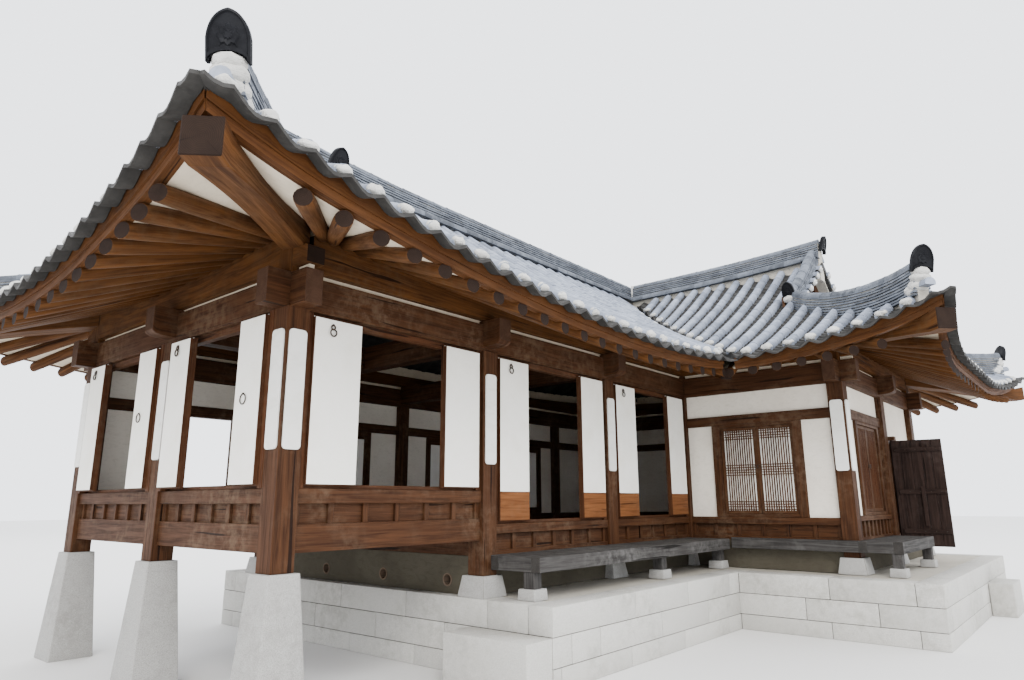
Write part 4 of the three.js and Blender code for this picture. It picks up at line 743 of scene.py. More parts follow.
# %% The tree that lays sticks
def stick_nodes(w, given):
    spot = w.node("GeometryNodeInputPosition")[0]
    stick = w.keep(w.node("GeometryNodeMeshCube")["Mesh"], "on_stick", spot, "FLOAT_VECTOR", "POINT")
    laid = w.lay(given, stick, w.turn("X", w.read("facing")), w.read("size"))
    shift = w.chosen("FLOAT_VECTOR", given["Seed"], {1: (40, 40, 0)})[0]
    real = w.real(w.keep(laid, "shift", shift, "FLOAT_VECTOR", "INSTANCE"))
    x, y, z = w.node("ShaderNodeSeparateXYZ", {0: w.vectors("MULTIPLY", w.read("on_stick"), w.read("size"))})
    flat = w.node("ShaderNodeCombineXYZ", {0: x, 1: w.plus(y, z)})[0]
    return w.keep(real, "lengthwise", w.vectors("ADD", flat, w.read("shift")), "FLOAT2", "CORNER")


LAY_STICKS = geometry_tree("lay_sticks", stick_nodes, Seed="Int")


class Sticks:
    """Middles, directions, facings and sizes of sticks, gathered for the tree."""

    def __init__(self):
        self.sticks = []

    def box(self, x0, x1, y0, y1, z0, z1, slot=0, end_slot=None, along=None):
        low, high, axis = measured(x0, x1, y0, y1, z0, z1, along)
        size = high - low
        facing = 1 if axis == 2 else 2
        self.sticks.append((metres(low + size / 2), np.eye(3)[axis], np.eye(3)[facing],
                            size[[axis, 3 - axis - facing, facing]] / 1000))

    def piece(self, name, finish, bevel=0.0, seed=5, body="house", stands_for=()):
        grown(name, LAY_STICKS, self.sticks, ("direction", "facing", "size"), finish, bevel, body, stands_for,
              Seed=seed)


# %% [markdown]
# ## Folding windows
# In summer the leaves of each bay are folded back against its posts, two deep. A leaf is a light frame
# papered over on the outside, so it is made as a wooden rim with a thin white skin that stops short of
# the edges. The three lower bays have a board at the foot of each leaf. Slats show on the back.

# %% Leaves folded back in the five open bays
WINDOW_TOP, BOARD_TOP = 3260.7, 1767
RAISED_FOOT, LOW_FOOT = 1777.3, 1434.3
FOLDS = [
    ("west_window_1", "west", 0, MIDDLE_Y, RAISED_FOOT, 395, 150),
    ("west_window_2", "west", MIDDLE_Y, DEPTH, RAISED_FOOT, 395, 150),
    ("front_window_1", "front", 0, 2400, RAISED_FOOT, 495, 102),
    ("front_window_2", "front", 2400, 4800, LOW_FOOT, 495, 102),
    ("front_window_3", "front", 4800, WING_WEST, LOW_FOOT, 495, 102),
]


def ends(low, high, width):
    """Two strips of one width at the ends of a stretch."""
    return (low, low + width), (high - width, high)


papers, slats, catches = Gathered(), Sticks(), Gathered()
for name, side, a, b, foot, width, face in FOLDS:
    u0, u1, rims = a + FACE, b - FACE, Gathered()
    for low, high in ends(u0, u1, 66):
        beside(rims, side, low, high, -45, face - 40, foot, WINDOW_TOP, along="z")
    for low, high in ((WINDOW_TOP - 60, WINDOW_TOP), (foot, foot + 34)):
        beside(rims, side, u0 + 60, u1 - 60, -45, 30, low, high, along="u")
    for left in (u0 + 61, u1 - 66 - width):
        right = left + width + 5
        for back, out, low, high, outer in ((face - 76, face - 36, foot + 20, WINDOW_TOP - 25, False),
                                            (face - 40, face - 2, foot + 32, WINDOW_TOP - 37, True)):
            for p, q in ends(left, right, 34):
                beside(rims, side, p, q, back, out, low, high, along="z")
            for p, q in ends(low, high, 40):
                beside(rims, side, left + 30, right - 30, back, out, p, q, along="u")
            bottom = low + (2 if outer else 44)
            if outer and foot == LOW_FOOT:
                bottom = BOARD_TOP + 4
                beside(rims, side, left + 3, right - 3, out - 6, out + 2, low + 3, BOARD_TOP, 2, 2, "u")
            beside(papers, side, left + 4, right - 4, out - 6, out + 1.5, bottom, high - 3)
        for i in range(4):
            p = left + 40 + (width - 75) * (i + 0.5) / 4
            beside(slats, side, p - 5, p + 5, face - 72, face - 60, foot + 50, WINDOW_TOP - 60, along="z")
        for z in np.linspace(foot + 90, WINDOW_TOP - 100, 14):
            beside(slats, side, left + 30, right - 30, face - 71, face - 61, z - 5, z + 5, along="u")
    rims.piece(f"{name}_leaves", [window_wood, frame_end, leaf_board_wood], 0.003, stands_for=[name])
papers.piece("folding_leaf_paper", [window_paper], 0.0015)
slats.piece("folding_leaf_slats", window_wood)

# %% [markdown]
# ## Ring pulls and catches
# The catches are forged iron: two rings hanging one from the other on a staple, near the head of the
# leaf that closes last, and a plain ring pull at half height on its neighbour. A ring is a short loop of
# round bar, so one helper makes it from a circle swept round a circle, closed on itself.

# %% Iron rings
def closed_tube(stock, loops):
    """A tube through loops, the last of which joins the first."""
    rings, count = np.shape(loops)[:2]
    faces = []
    for i in range(rings):
        for j in range(count):
            here, there = i * count, (i + 1) % rings * count
            faces.append((here + j, there + j, there + (j + 1) % count, here + (j + 1) % count))
    stock.shape(np.reshape(loops, (-1, 3)), faces, [[(0, 0), (0.1, 0), (0.1, 0.1), (0, 0.1)]] * len(faces), smooth=True)


def iron_ring(side, u, out, z, radius, wire=7.0):
    """A ring of round bar that hangs flat on one side of the house."""
    centre = np.array(on_side(side, u, out, z))
    facing = np.array([*np.subtract(SIDES[side](0, 1), SIDES[side](0, 0)), 0])
    loops = []
    for c, s in circle(20):
        spoke = c * np.cross(UP, facing) + s * UP
        loops.append([centre + spoke * (radius + wire * p) + facing * wire * q for p, q in circle(6)])
    closed_tube(catches, loops)


for name, side, a, b, foot, width, face in FOLDS:
    u = a + FACE + 66 + width * 0.35 if side == "front" else b - FACE - 66 - width * 0.4
    iron_ring(side, u, face + 10, 3150, 19)
    iron_ring(side, u, face + 16, 3102, 31)
    beside(catches, side, u - 7, u + 7, face - 3, face + 14, 3166, 3180)
    if side == "west":
        u = a + FACE + 66 + width * 0.62
        iron_ring(side, u, face + 8, 2520, 44, 5)
        beside(catches, side, u - 6, u + 6, face - 3, face + 13, 2562, 2574)
for side, middle in (("inner", -1172.5), ("south", 8270)):
    for u in (middle - 28, middle + 28):
        iron_ring(side, u, 34, 2150, 24, 4)
        beside(catches, side, u - 6, u + 6, 20, 38, 2170, 2180)
catches.piece("iron_ring_catches", [iron])

# %% [markdown]
# ## Lattice windows
# The wing's windows stay shut. Each leaf has upright slats close together, tied by short rows of
# crossing slats at the head, the middle and the foot, which leave a fine grid there. White paper is
# pasted behind. Slats are sticks from the tree, while stiles and rails are planed and eased timbers.

# %% Lattice windows of the wing and of the unseen sides
lattice_sticks, lattice_paper, rear_frames = Sticks(), Gathered(), Gathered()


def rim_of(stock, side, u0, u1, z0, z1, stile, rail, half, back):
    """Two stiles, and two rails whose faces lie a little behind theirs. Returns the opening."""
    for p, q in ends(u0, u1, stile):
        beside(stock, side, p, q, -half, half, z0, z1, along="z")
    for p, q in ends(z0, z1, rail):
        beside(stock, side, u0 + stile - 4, u1 - stile + 4, -half + back, half - back, p, q, along="u")
    return u0 + stile, u1 - stile, z0 + rail, z1 - rail


def lattice_leaf(stock, side, u0, u1, z0, z1, columns):
    a, b, low, high = rim_of(stock, side, u0, u1, z0, z1, 46, 46, 24, 1)
    pitch = (b - a) / columns
    for i in range(1, columns):
        beside(lattice_sticks, side, a + pitch * i - 7, a + pitch * i + 7, 3, 21, low - 3, high + 3, along="z")
    rows = [low + 36 * (i + 0.5) for i in range(4)] + [high - 36 * (i + 0.5) for i in range(4)]
    rows += [(low + high) / 2 + 36 * (i - 2) for i in range(5)]
    for z in rows:
        beside(lattice_sticks, side, a - 3, b + 3, 5, 17, z - 6, z + 6, along="u")
    beside(lattice_paper, side, a - 8, b + 8, -5, 3, low - 8, high + 8)


def lattice_pair(stock, side, u0, u1, z0, z1, jamb, rail, half=55, columns=13):
    a, b, low, high = rim_of(stock, side, u0, u1, z0, z1, jamb, rail, half, 2)
    middle = (a + b) / 2
    lattice_leaf(stock, side, a, middle - 1, low, high, columns)
    lattice_leaf(stock, side, middle + 1, b, low, high, columns)


for name, side, u0, u1, z0, jamb in (("inner_lattice_window", "inner", -1840, -505, 1434.6, 128),
                                     ("wing_end_lattice_window", "south", 7640, 8900, 1456.6, 90)):
    rims = Gathered()
    lattice_pair(rims, side, u0, u1, z0, 2779.4, jamb, 44)
    rims.piece(f"{name}_frame", WOODS, 0.004, stands_for=[name])
for side, u in (("north", 3600), ("north", 5945), ("north", 8123), ("east", -1178), ("east", 1033)):
    lattice_pair(rear_frames, side, u - 550, u + 550, 1434, 2780, 70, 70, 45, 11)
rear_frames.piece("rear_lattice_window_frames", WOODS, 0.004)
lattice_sticks.piece("lattice_slats", window_wood)
lattice_paper.piece("lattice_paper", [window_paper])

# %% [markdown]
# ## The plank door
# The door of the wing's end hangs on wooden pegs and stands open in the photograph. It is a plain plank
# door with battens, so its boards come from the stick tree, and it rides on its own body.

# %% Door of planks, battens and pegs
planks, battens = Sticks(), Gathered()
BATTEN_HEIGHTS, PLANK_STARTS = (1200, 1790, 2430), range(-3178, -2500, 142)
for y in PLANK_STARTS:
    planks.box(9281, 9320, y + 1.5, y + 140.5, 980, 2580, along="z")
planks.piece("door_planks", plank_wood, 0.004, 9, "door", ["door_leaf"])
for z in BATTEN_HEIGHTS:
    battens.box(9254, 9285, -3165, -2535, z - 35, z + 35)
battens.box(9230, 9256, -2890, -2840, 1280, 1870)
battens.box(9281, 9321, -2489, -2468, 982, 2578)
for z0, z1 in ((940, 985), (2575, 2645)):
    battens.loft([[(9301 + p, -2492 + q, z) for p, q in circle(16, 20)] for z in (z0, z1)], 0, 1)
for z in BATTEN_HEIGHTS:
    for y in PLANK_STARTS:
        battens.loft([[(x, y + 71 + p, z + q) for p, q in circle(8, 8)] for x in (9256, 9249)], 2, 2)
battens.piece("door_battens_and_pegs", [plank_wood, frame_end, iron], 0.003, body="door")

# %% [markdown]
# ## Floors and porches
# The floor is boards on joists, higher in the raised room. The two porches are low decks of grey
# weathered boards between thick edge beams, on short legs with stone feet. Boards again are sticks, and
# the beams are eased timbers with sawn ends.

# %% Boards of the two floors
def decked(stock, x0, x1, y0, y1, z0, z1, along, wide=182, gap=3):
    first, last = (y0, y1) if along == "x" else (x0, x1)
    count = max(1, round((last - first) / wide))
    step = (last - first) / count
    for i in range(count):
        low, high = first + step * i + gap / 2, first + step * (i + 1) - gap / 2
        stock.box(*((x0, x1, low, high) if along == "x" else (low, high, y0, y1)), z0, z1, along=along)


raised, low_boards, deck = Sticks(), Sticks(), Sticks()
decked(raised, 62, 2345, 62, 4070, 1462, 1489, "x")
decked(raised, 62, 2345, 62, 4070, 1432, 1462, "y", 640, 520)
raised.box(2346, 2454, 62, 4070, 1116, 1489, along="y")
raised.piece("raised_floor_boards", frame_wood, 0.003, 3, stands_for=["raised_floor"])
for x0, x1, y0, y1 in ((2457, 4798, 62, 4070), (4802, 7148, 62, 4070), (7152, 9154, 62, 4070), (9158, 11160, 62, 4070),
                       (7152, 9154, -2295, 58), (9158, 11160, -2295, 58)):
    decked(low_boards, x0, x1, y0, y1, 1072, 1129, "x")
low_boards.piece("low_floor_boards", frame_wood, 0.003, 4, stands_for=["low_floor"])


# %% Porch decks with their beams, legs and feet
def porch_beams(stock, x0, x1, y0, y1, top, width=112):
    stock.box(x0, x1, y0, y0 + width, top - 146, top, 0, 1, "x")
    stock.box(x0, x1, y1 - width, y1, top - 146, top - 1, 0, 1, "x")
    for x in (x0, x1 - width):
        stock.box(x, x + width, y0 + width - 4, y1 - width + 4, top - 145, top - 2, 0, 1, "y")


def porch_legs(stock, places, half, foot_half, top):
    for x, y in places:
        stock.box(x - half, x + half, y - half, y + half, 824, top, 0, 1, "z")
        stone_feet.append((x, y, foot_half, foot_half - 8, 724.3, 829))


stone_feet, porch, wing_deck = [], Gathered(), Gathered()
porch_beams(porch, 2411, 6869, -743, -106, 1132)
for x in (3520, 5060, 5965):
    porch.box(x - 50, x + 50, -640, -200, 990, 1084, 0, 1, "y")
porch_legs(porch, ((2490, -590), (5060, -590), (6780, -590)), 65, 110.5, 992)
porch.piece("front_porch_beams", [porch_wood, porch_end], 0.006, stands_for=["front_porch"])
porch_beams(wing_deck, 6881, 8849, -2989, -2464, 1150)
wing_deck.box(6881, 6984, -2466, -761, 1004, 1150, 0, 1, "y")
wing_deck.box(7850, 7940, -2880, -2570, 1008, 1100, 0, 1, "y")
porch_legs(wing_deck, ((6960, -2900), (8770, -2900)), 60, 102, 1010)
wing_deck.piece("wing_porch_beams", [porch_wood, porch_end], 0.006, stands_for=["wing_porch"])
decked(deck, 2523, 6757, -633, -216, 1085, 1129, "y", 210, 5)
decked(deck, 6993, 8737, -2879, -2574, 1103, 1147, "y", 210, 5)
deck.piece("porch_boards", porch_wood, 0.003, 8)

# %% [markdown]
# ## Plaques and plaster
# Narrow white boards with rounded ends hang on the posts. They are left bare here. The plaster sheets
# between the wing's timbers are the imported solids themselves, which already have the right shape, so
# they only get the finish.

# %% Bare plaques on the posts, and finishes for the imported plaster
plaques, HALF, ROUND = Gathered(), 82, 34
for side, u, z0, z1 in (("west", 0, 2080, 3070), ("front", 0, 2080, 3070), ("west", MIDDLE_Y, 2080, 3070),
                        ("west", DEPTH, 2080, 3070), ("front", 2400, 2050, 3010), ("front", 4800, 2050, 3010),
                        ("inner", WING_SOUTH, 2050, 3010), ("south", WING_WEST, 2050, 3010)):
    rim = []
    for cu, cz, start in ((u + HALF - ROUND, z1 - ROUND, 0), (u - HALF + ROUND, z1 - ROUND, 90),
                          (u - HALF + ROUND, z0 + ROUND, 180), (u + HALF - ROUND, z0 + ROUND, 270)):
        for a in np.radians(start + 22.5 * np.arange(5)):
            rim.append((cu + ROUND * math.cos(a), cz + ROUND * math.sin(a)))
    plaques.loft([[on_side(side, pu, out, pz) for pu, pz in rim] for out in (104, 123)])
plaques.piece("post_plaques", [limewash], 0.003)


def refinish(node, finish):
    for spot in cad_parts[node].material_slots:
        spot.material = finish
    print(node, "keeps its shape and gets", finish.name)


for node in ("inner_plaster", "wing_end_plaster", "door_bay_plaster"):
    refinish(node, wall_plaster)

# %% [markdown]
# ## Dressed granite
# The house stands on sawn and bush-hammered granite: three courses of long blocks round the platform,
# tall tapered pillars under the raised room and low plinths under the other posts. Each block is its own
# solid a few millimetres from the next, over a core of mortar, so the joints are real gaps. The faces
# of one course differ by a millimetre or two, and every arris is worn a little.

# %% Courses of the platform
COURSES = ((0, 194), (197, 459), (462, 724))
RIM = [(2210, -1044), (6375, -1044), (6375, -3458), (11937, -3458), (11937, 4832), (2210, 4832)]
JOINTS = {
    (0, 2): [2210, 3671, 4891, 6090], (0, 1): [2388, 2985, 4230, 5420], (0, 0): [2334, 3558, 4761, 6000],
    (1, 2): [-2204, -3170], (1, 1): [-1903, -2750], (1, 0): [-2198, -3100],
    (2, 2): [7300, 8296, 9240, 10180, 11080], (2, 1): [6950, 8010, 9087, 10050, 11010],
    (2, 0): [7200, 8200, 9300, 10300, 11200],
    (5, 2): [-239, 950, 2100, 3250], (5, 1): [353, 1450, 2600, 3700], (5, 0): [-400, 800, 1900, 3000, 4000],
}
BLOCK_DEPTH, JOINT, HALF_JOINT = 290, 3, 3.5
blocks = Gathered()
dice = random.Random(11)
for level, (low, high) in enumerate(COURSES):
    for edge in range(6):
        (ax, ay), (bx, by) = RIM[edge], RIM[(edge + 1) % 6]
        along_x = ay == by
        start, end = (ax, bx) if along_x else (ay, by)
        way = 1 if end > start else -1
        # on alternate courses one face's blocks run through the corner and the other's stop behind them
        through = (level + (0 if along_x else 1)) % 2 == 0
        trim = [0 if through else BLOCK_DEPTH + JOINT] * 2
        if edge < 2:
            trim[1 - edge] = -BLOCK_DEPTH if through else JOINT
        low_u, high_u = start + way * trim[0], end - way * trim[1]
        cuts = JOINTS.get((edge, level))
        if cuts is None:
            count = round(abs(high_u - low_u) / 1050)
            cuts = [low_u + (high_u - low_u) * (i + 0.25 * (level - 1)) / count for i in range(1, count)]
        cuts = [c for c in cuts if min(low_u, high_u) + 90 < c < max(low_u, high_u) - 90]
        stops = [low_u, *sorted(cuts, reverse=way < 0), high_u]
        inward = unit(np.array([ay - by, bx - ax], float))
        for a, b in zip(stops, stops[1:]):
            out, a, b = dice.uniform(0.0, 1.6), a + way * HALF_JOINT, b - way * HALF_JOINT
            p = np.array((a, ay) if along_x else (ax, a)) + inward * out
            q = np.array((b, by) if along_x else (bx, b)) + inward * BLOCK_DEPTH
            blocks.box(p[0], q[0], p[1], q[1], low + 2, high - dice.uniform(1, 2.2), 0, tone=dice.random())
for x0, x1, y0, y1 in ((2222, 6380, -1032, 4820), (6375, 11925, -1040, 4820), (6387, 11925, -3446, -1035)):
    blocks.box(x0, x1, y0, y1, 2, 700, 1)
blocks.piece("platform_courses", [ashlar_stone, joint_mortar], 0.005, 2, 50, stands_for=["stone_platform"])

# %% [markdown]
# ### The platform's top
# Behind the edge stones the top is rough mortar over rubble. A grid of points is lifted by smooth noise
# and closed underneath, so that light catches it unevenly as it does on trodden mortar.

# %% Trodden mortar behind the edge stones
def closed_slab(top, low):
    """Points of two grids, and the faces of the slab between them: above, below and round the rim."""
    rows, columns = np.shape(top)[:2]
    index, under = np.arange(rows * columns).reshape(rows, columns), rows * columns
    a, b, c, d = (part.reshape(-1) for part in (index[:-1, :-1], index[:-1, 1:], index[1:, 1:], index[1:, :-1]))
    rim = np.concatenate([index[0, :], index[1:, -1], index[-1, -2::-1], index[-2:0:-1, 0]])
    after = np.roll(rim, -1)
    return np.concatenate([np.reshape(top, (-1, 3)), np.reshape(low, (-1, 3))]), (
        np.stack([a, b, c, d], -1), np.stack([a, d, c, b], -1) + under,
        np.stack([rim, rim + under, after + under, after], -1))


def add_slab(stock, top, low):
    points, faces = closed_slab(top, low)
    faces = np.concatenate(faces).tolist()
    stock.shape(points, faces, [[(0, 0)] * 4] * len(faces), smooth=True)


trodden, TRODDEN_TOP = Gathered(), 717
for x0, x1, y0, y1 in ((2505, 6666, -748, 4536), (6670, 11640, -3162, 4536)):
    x, y = np.meshgrid(*(np.linspace(a, b, max(2, round((b - a) / 110)) + 1) for a, b in ((x0, x1), (y0, y1))))
    lift = sum(np.sin(x / a + s) * np.cos(y / b + 2 * s)
               for a, b, s in ((310, 270, 0.3), (140, 170, 1.7), (73, 61, 2.9))) / 3
    add_slab(trodden, np.stack([x, y, TRODDEN_TOP + 5 * lift], -1),
             np.stack([x, y, np.full_like(x, TRODDEN_TOP - 30)], -1))
trodden.piece("platform_mortar_top", [mortar])


# %% Steps, pillars and plinths
def dressed_block(stock, x, y, low_half, high_half, z0, z1, rings=7, worn=1.6, chamfer=9):
    """A tapered block with cut corners, whose faces wander by a millimetre or two."""
    low_half, high_half = np.broadcast_to(low_half, 2), np.broadcast_to(high_half, 2)
    loops = []
    for share in np.linspace(0, 1, rings):
        hx, hy = low_half + (high_half - low_half) * share
        ring = []
        for sx, sy in ((1, 1), (-1, 1), (-1, -1), (1, -1)):
            for px, py in ((hx, hy - chamfer), (hx - chamfer, hy))[::sx * sy]:
                ring.append((x + sx * (px - dice.uniform(0, worn)), y + sy * (py - dice.uniform(0, worn)),
                             z0 + (z1 - z0) * share))
        loops.append(ring)
    stock.loft(loops)


for name, x, y, half in (("west", 2021, -523, (185, 519)), ("door", 10150, -3619, (449, 158))):
    step = Gathered()
    dressed_block(step, x, y, half, half, 1, 459, 4, 2.0, 10)
    step.piece(f"{name}_step_stone", [ashlar_stone], 0.006, 2, 50, stands_for=[f"{name}_stone_step"])
for name, y in (("front", 0), ("middle", MIDDLE_Y), ("rear", DEPTH)):
    pillar = Gathered()
    dressed_block(pillar, 0, y, 225.5, 144.5, 0.5, 1125.5, 10, 1.5, 10)
    pillar.piece(f"{name}_pillar_stone", [pillar_stone], 0.006, 2, 50, stands_for=[f"{name}_stone_pillar"])
plinths = Gathered()
for x, y in ((2400, 0), (4800, 0), (WING_WEST, 0), (WING_WEST, WING_SOUTH), (WING_MIDDLE, WING_SOUTH),
             (EAST, WING_SOUTH), (EAST, 0), (EAST, MIDDLE_Y), (EAST, DEPTH), (WING_MIDDLE, DEPTH),
             (WING_WEST, DEPTH), (4800, DEPTH), (2400, DEPTH)):
    dressed_block(plinths, x, y, 184, 150, 724.2, 929.8, 5, 1.6, 9)
for foot in stone_feet:
    dressed_block(plinths, *foot, 3, 1.2, 7)
plinths.piece("post_plinths", [pillar_stone], 0.005, 2, 50)

# %% [markdown]
# ### Low walls between the plinths
# The gap under the floor is closed by a low wall of plaster, coloured dark as painted shade under the
# floor, with clay pipes through it as vents under the raised room's side. The wall is the imported solid
# with a finish, and the pipes are short tubes, thicker than the hole is rough, so that their lips show.

# %% Vent pipes and the low wall's finish
vents = Gathered()
for y in (450, 1500, 2600):
    closed_tube(vents, [[(x, y + p, 862 + q) for p, q in circle(24, radius)]
                        for x, radius in ((2338, 67), (2462, 67), (2462, 54), (2338, 54))])
vents.piece("vent_pipes", [vent_clay], sharp=35)
# the low wall's dark colour is painted shade under the floor
refinish("foundation_wall", low_wall_plaster)

# %% [markdown]
# ## Unseen walls
# The photograph doesn't show the north and east sides, so they repeat the wing's way of building:
# posts on plinths, a panelled sill, white plaster, a lintel, and the same lattice windows.

# %% Timber and plaster of the north and east walls
rear, sheets = Gathered(), Gathered()


def plastered(side, u0, u1, foot, opening=()):
    """Plaster between sill and header, stopping at the opening and at the lintel."""
    edges = [u0, *opening, u1]
    for a, b in zip(edges[::2], edges[1::2]):
        beside(sheets, side, a, b, -15, 15, foot, LINTEL[0] + 5)
    beside(sheets, side, u0, u1, -15, 15, LINTEL[1] - 5, HEADER[0] + 4)
    beside(rear, side, u0, u1, -60, 60, *LINTEL, along="u")


def rear_bay(side, u0, u1, window=None):
    sill_wall(rear, side, u0, u1, LOW)
    plastered(side, u0, u1, LOW[3] - 4, () if window is None else (window - 545, window + 545))


for side, places in (("north", (2400, 4800, WING_WEST, WING_MIDDLE)), ("east", (0, MIDDLE_Y, DEPTH))):
    for u in places:
        post(rear, side, u)
for a, b, window in ((2400, 4800, 3600), (4800, WING_WEST, 5945), (WING_WEST, WING_MIDDLE, 8123),
                     (WING_MIDDLE, EAST, None)):
    rear_bay("north", a + 100, b - 100, window)
rear_bay("east", WING_SOUTH + 105, -100, -1178)
rear_bay("east", 100, MIDDLE_Y - 100, 1033)
rear_bay("east", MIDDLE_Y + 100, DEPTH - 100)
sill_wall(rear, "north", 106, 2300, RAISED)
plastered("north", 106, 2300, RAISED[3] - 4, (600, 1800))
for a, b in ((580, 650), (1750, 1820)):
    beside(rear, "north", a, b, -45, 45, RAISED[3] - 4, LINTEL[0] + 4, along="z")
header(rear, "north", 106, EAST - 106)
header(rear, "east", WING_SOUTH + 106, DEPTH + 300)
header_ends(rear, "east", DEPTH)
rear.piece("rear_timber_frames", WOODS, 0.005, stands_for=["north_wall", "east_wall"])
sheets.piece("rear_plaster_sheets", [wall_plaster])

# %% [markdown]
# ## The form of the roof
# A tiled roof of this kind curves twice: each slope sags from ridge to eave, and each eave lifts and
# pushes out towards its corners. One set of height functions over the plan gives both, so the rafters,
# the eave boards, the plaster between rafters and every row of tiles follow the same surface.

# %% Heights over the plan
RIDGE_OUT = 130 - MIDDLE_Y
VERGE_LINE = 820.3
TIP, VALLEY_END, FREE_LIFT = 1720, 1930, 120
LONG, SHORT = (5400, 460), (2600, 340)
# a side's node, where its walls start and end, how far its purlin passes them, its rafters' gap at a valley
ROOF = {
    "front": ("front", 0, WING_WEST, 100, 100, 20),
    "inner": ("inner", WING_SOUTH, 0, -300, -100, 240),
    "west": ("west", 0, DEPTH, -300, 300, None),
    "south": ("wing_end", WING_WEST, EAST, 100, 300, None),
    "north": ("rear", 0, EAST, 100, -100, None),
    "east": ("east", WING_SOUTH, DEPTH, 100, 300, None),
}
# how far each corner's sweep reaches along the eave and how much it lifts, at a side's start and end
SWEEPS = {"front": (LONG,), "inner": (SHORT,), "west": (LONG, LONG), "south": (SHORT, SHORT), "north": (LONG, LONG),
          "east": (SHORT, LONG)}
FREE_LIFTS = {
    "front": lambda u: near(5630 - u, 2000),
    "east": lambda u: 1 - eased(u - WING_SOUTH + TIP, 2600, 5000),
    "south": lambda u: 1, "inner": lambda u: 1, "west": lambda u: 0, "north": lambda u: 0,
}


def near(distance, reach):
    return np.clip(1 - np.asarray(distance, float) / reach, 0, 1) ** 2


def eased(value, low, high):
    t = np.clip((np.asarray(value, float) - low) / (high - low), 0, 1)
    return t * t * (3 - 2 * t)


def from_tips(side, u):
    """For each swept corner of a side: how far u is from its tip, its reach and its lift."""
    _, start, end, *_ = ROOF[side]
    return [(distance, *sweep) for distance, sweep in zip((u - start + TIP, end + TIP - u), SWEEPS[side])]


def overhang(side, u):
    return 1460 + 260 * sum(near(distance, reach) for distance, reach, _ in from_tips(side, u))


def lift(side, u, out):
    whole = FREE_LIFT * FREE_LIFTS[side](u)
    for distance, reach, rise in from_tips(side, u):
        whole = whole + rise * near(distance, reach) + 75 * near(np.abs(distance), 1100)
    return whole * np.clip(1 - np.clip(overhang(side, u) - out, 0, None) / 2550, 0, None)


def tile_height(side, u, out):
    s = overhang(side, u) - out
    return 3420 + 0.489 * s + 4.46e-5 * s * s + lift(side, u, out)


def rafter_height(side, u, out):
    return 3230 + 0.5 * (overhang(side, u) - out) + lift(side, u, out)


def row_ends(side, u, valley_gap=0.0):
    """Where a row that runs up the slope at u begins and ends, as distances out from the wall line."""
    _, start, end, _, _, valley = ROOF[side]
    u = np.asarray(u, float)
    begin = overhang(side, u)
    if side in ("west", "south"):
        top = np.maximum(np.maximum(start - u, u - end), -VERGE_LINE)
    else:
        top = np.where(u - start < VERGE_LINE, start - u, RIDGE_OUT)
        if valley:
            begin = np.minimum(begin, end - u - valley_gap)
        else:
            top = np.maximum(top, u - end)
    return begin, np.minimum(top, begin)


for side, (node, start, end, *_) in ROOF.items():
    middle = (start + end) / 2
    print(side, "eave height", round(float(tile_height(side, middle, overhang(side, middle)))), "mm at mid length")

# %% [markdown]
# ## Rafters, purlins and corner rafters
# Rafters are peeled pine logs, 140 mm thick, at 325 mm centres. Beside each corner they fan out, which
# is what makes the underside of such a roof. Each log is a round bar thinned at its outer end, with
# rings on the cut. Cream plaster fills the gaps between them, and the corner rafter is two stacked
# timbers whose underside curves up to the tip.

# %% Rafters
RAFTER_RADIUS, RAFTER_PITCH, PAST_CORNER, INNER_OUT = 70, 325, 950, -20.0
RAFTER_DROP = RAFTER_RADIUS * math.cos(math.pi / 6)


def purlin_top(side, u):
    return float(rafter_height(side, u, 100.0)) - 2 * RAFTER_DROP - 8


def fan_foot(d):
    """Where a rafter whose outer end is at d from the corner crosses the wall."""
    return d if d > 1900 else 260 + 1640 * ((d + 1150) / 3050) ** 1.5


def rafter(stock, side, u, out, seat_u):
    """A round log from its outer end to behind the purlin, lowered until it clears the tiles' bed."""
    seat_share = (out - 100) / (out - INNER_OUT)
    seat_z = purlin_top(side, seat_u) + RAFTER_DROP
    end_z = float(rafter_height(side, u, out)) - RAFTER_DROP - 3
    for part in [*np.arange(5) / 6] * 3:
        share = part * seat_share
        bed = float(rafter_height(side, u + (seat_u - u) * share, out + (INNER_OUT - out) * share))
        end_z -= max(0, end_z + (seat_z - end_z) * part - (bed - RAFTER_DROP - 3)) / (1 - part)
    start = np.array(on_side(side, u, out, end_z))
    run = np.array(on_side(side, seat_u, INNER_OUT, end_z + (seat_z - end_z) / seat_share)) - start
    across = unit(np.array([-run[1], run[0], 0]))
    stock.loft([[start + run * share + RAFTER_RADIUS * girth * (across * c + UP * s) for c, s in circle(14)]
                for share, girth in ((0, 0.86), (0.004, 0.9), (0.12, 0.97), (0.35, 1.0), (1, 1.0))], 0, 1, smooth=True)


def rafter_row(stock, side):
    _, start, end, _, _, valley = ROOF[side]
    length = end - start
    last = length - 460 if valley else length + PAST_CORNER
    for d in np.linspace(-PAST_CORNER, last, round((last + PAST_CORNER) / RAFTER_PITCH) + 1):
        foot, out = d, float(overhang(side, start + d)) - 92
        if d < length / 2:
            foot = fan_foot(d)
        elif valley:
            out = min(out, length - d - valley)
        else:
            foot = length - fan_foot(length - d)
        rafter(stock, side, start + d, out, start + foot)


# %% Lines of the pan tiles, which the eave boards follow too
PAN_PITCH, CORNER_HALF = 283.0, 175.0
PAN_LINES = (0.0, 0.17, 0.34, 0.5, 0.66, 0.83)
CORNERS = {
    "southwest": ("front", (0, 0), (1, 1)), "wing_southwest": ("inner", (WING_WEST, WING_SOUTH), (1, 1)),
    "wing_southeast": ("east", (EAST, WING_SOUTH), (-1, 1)), "northwest": ("north", (0, DEPTH), (1, -1)),
    "northeast": ("north", (EAST, DEPTH), (-1, -1)),
}


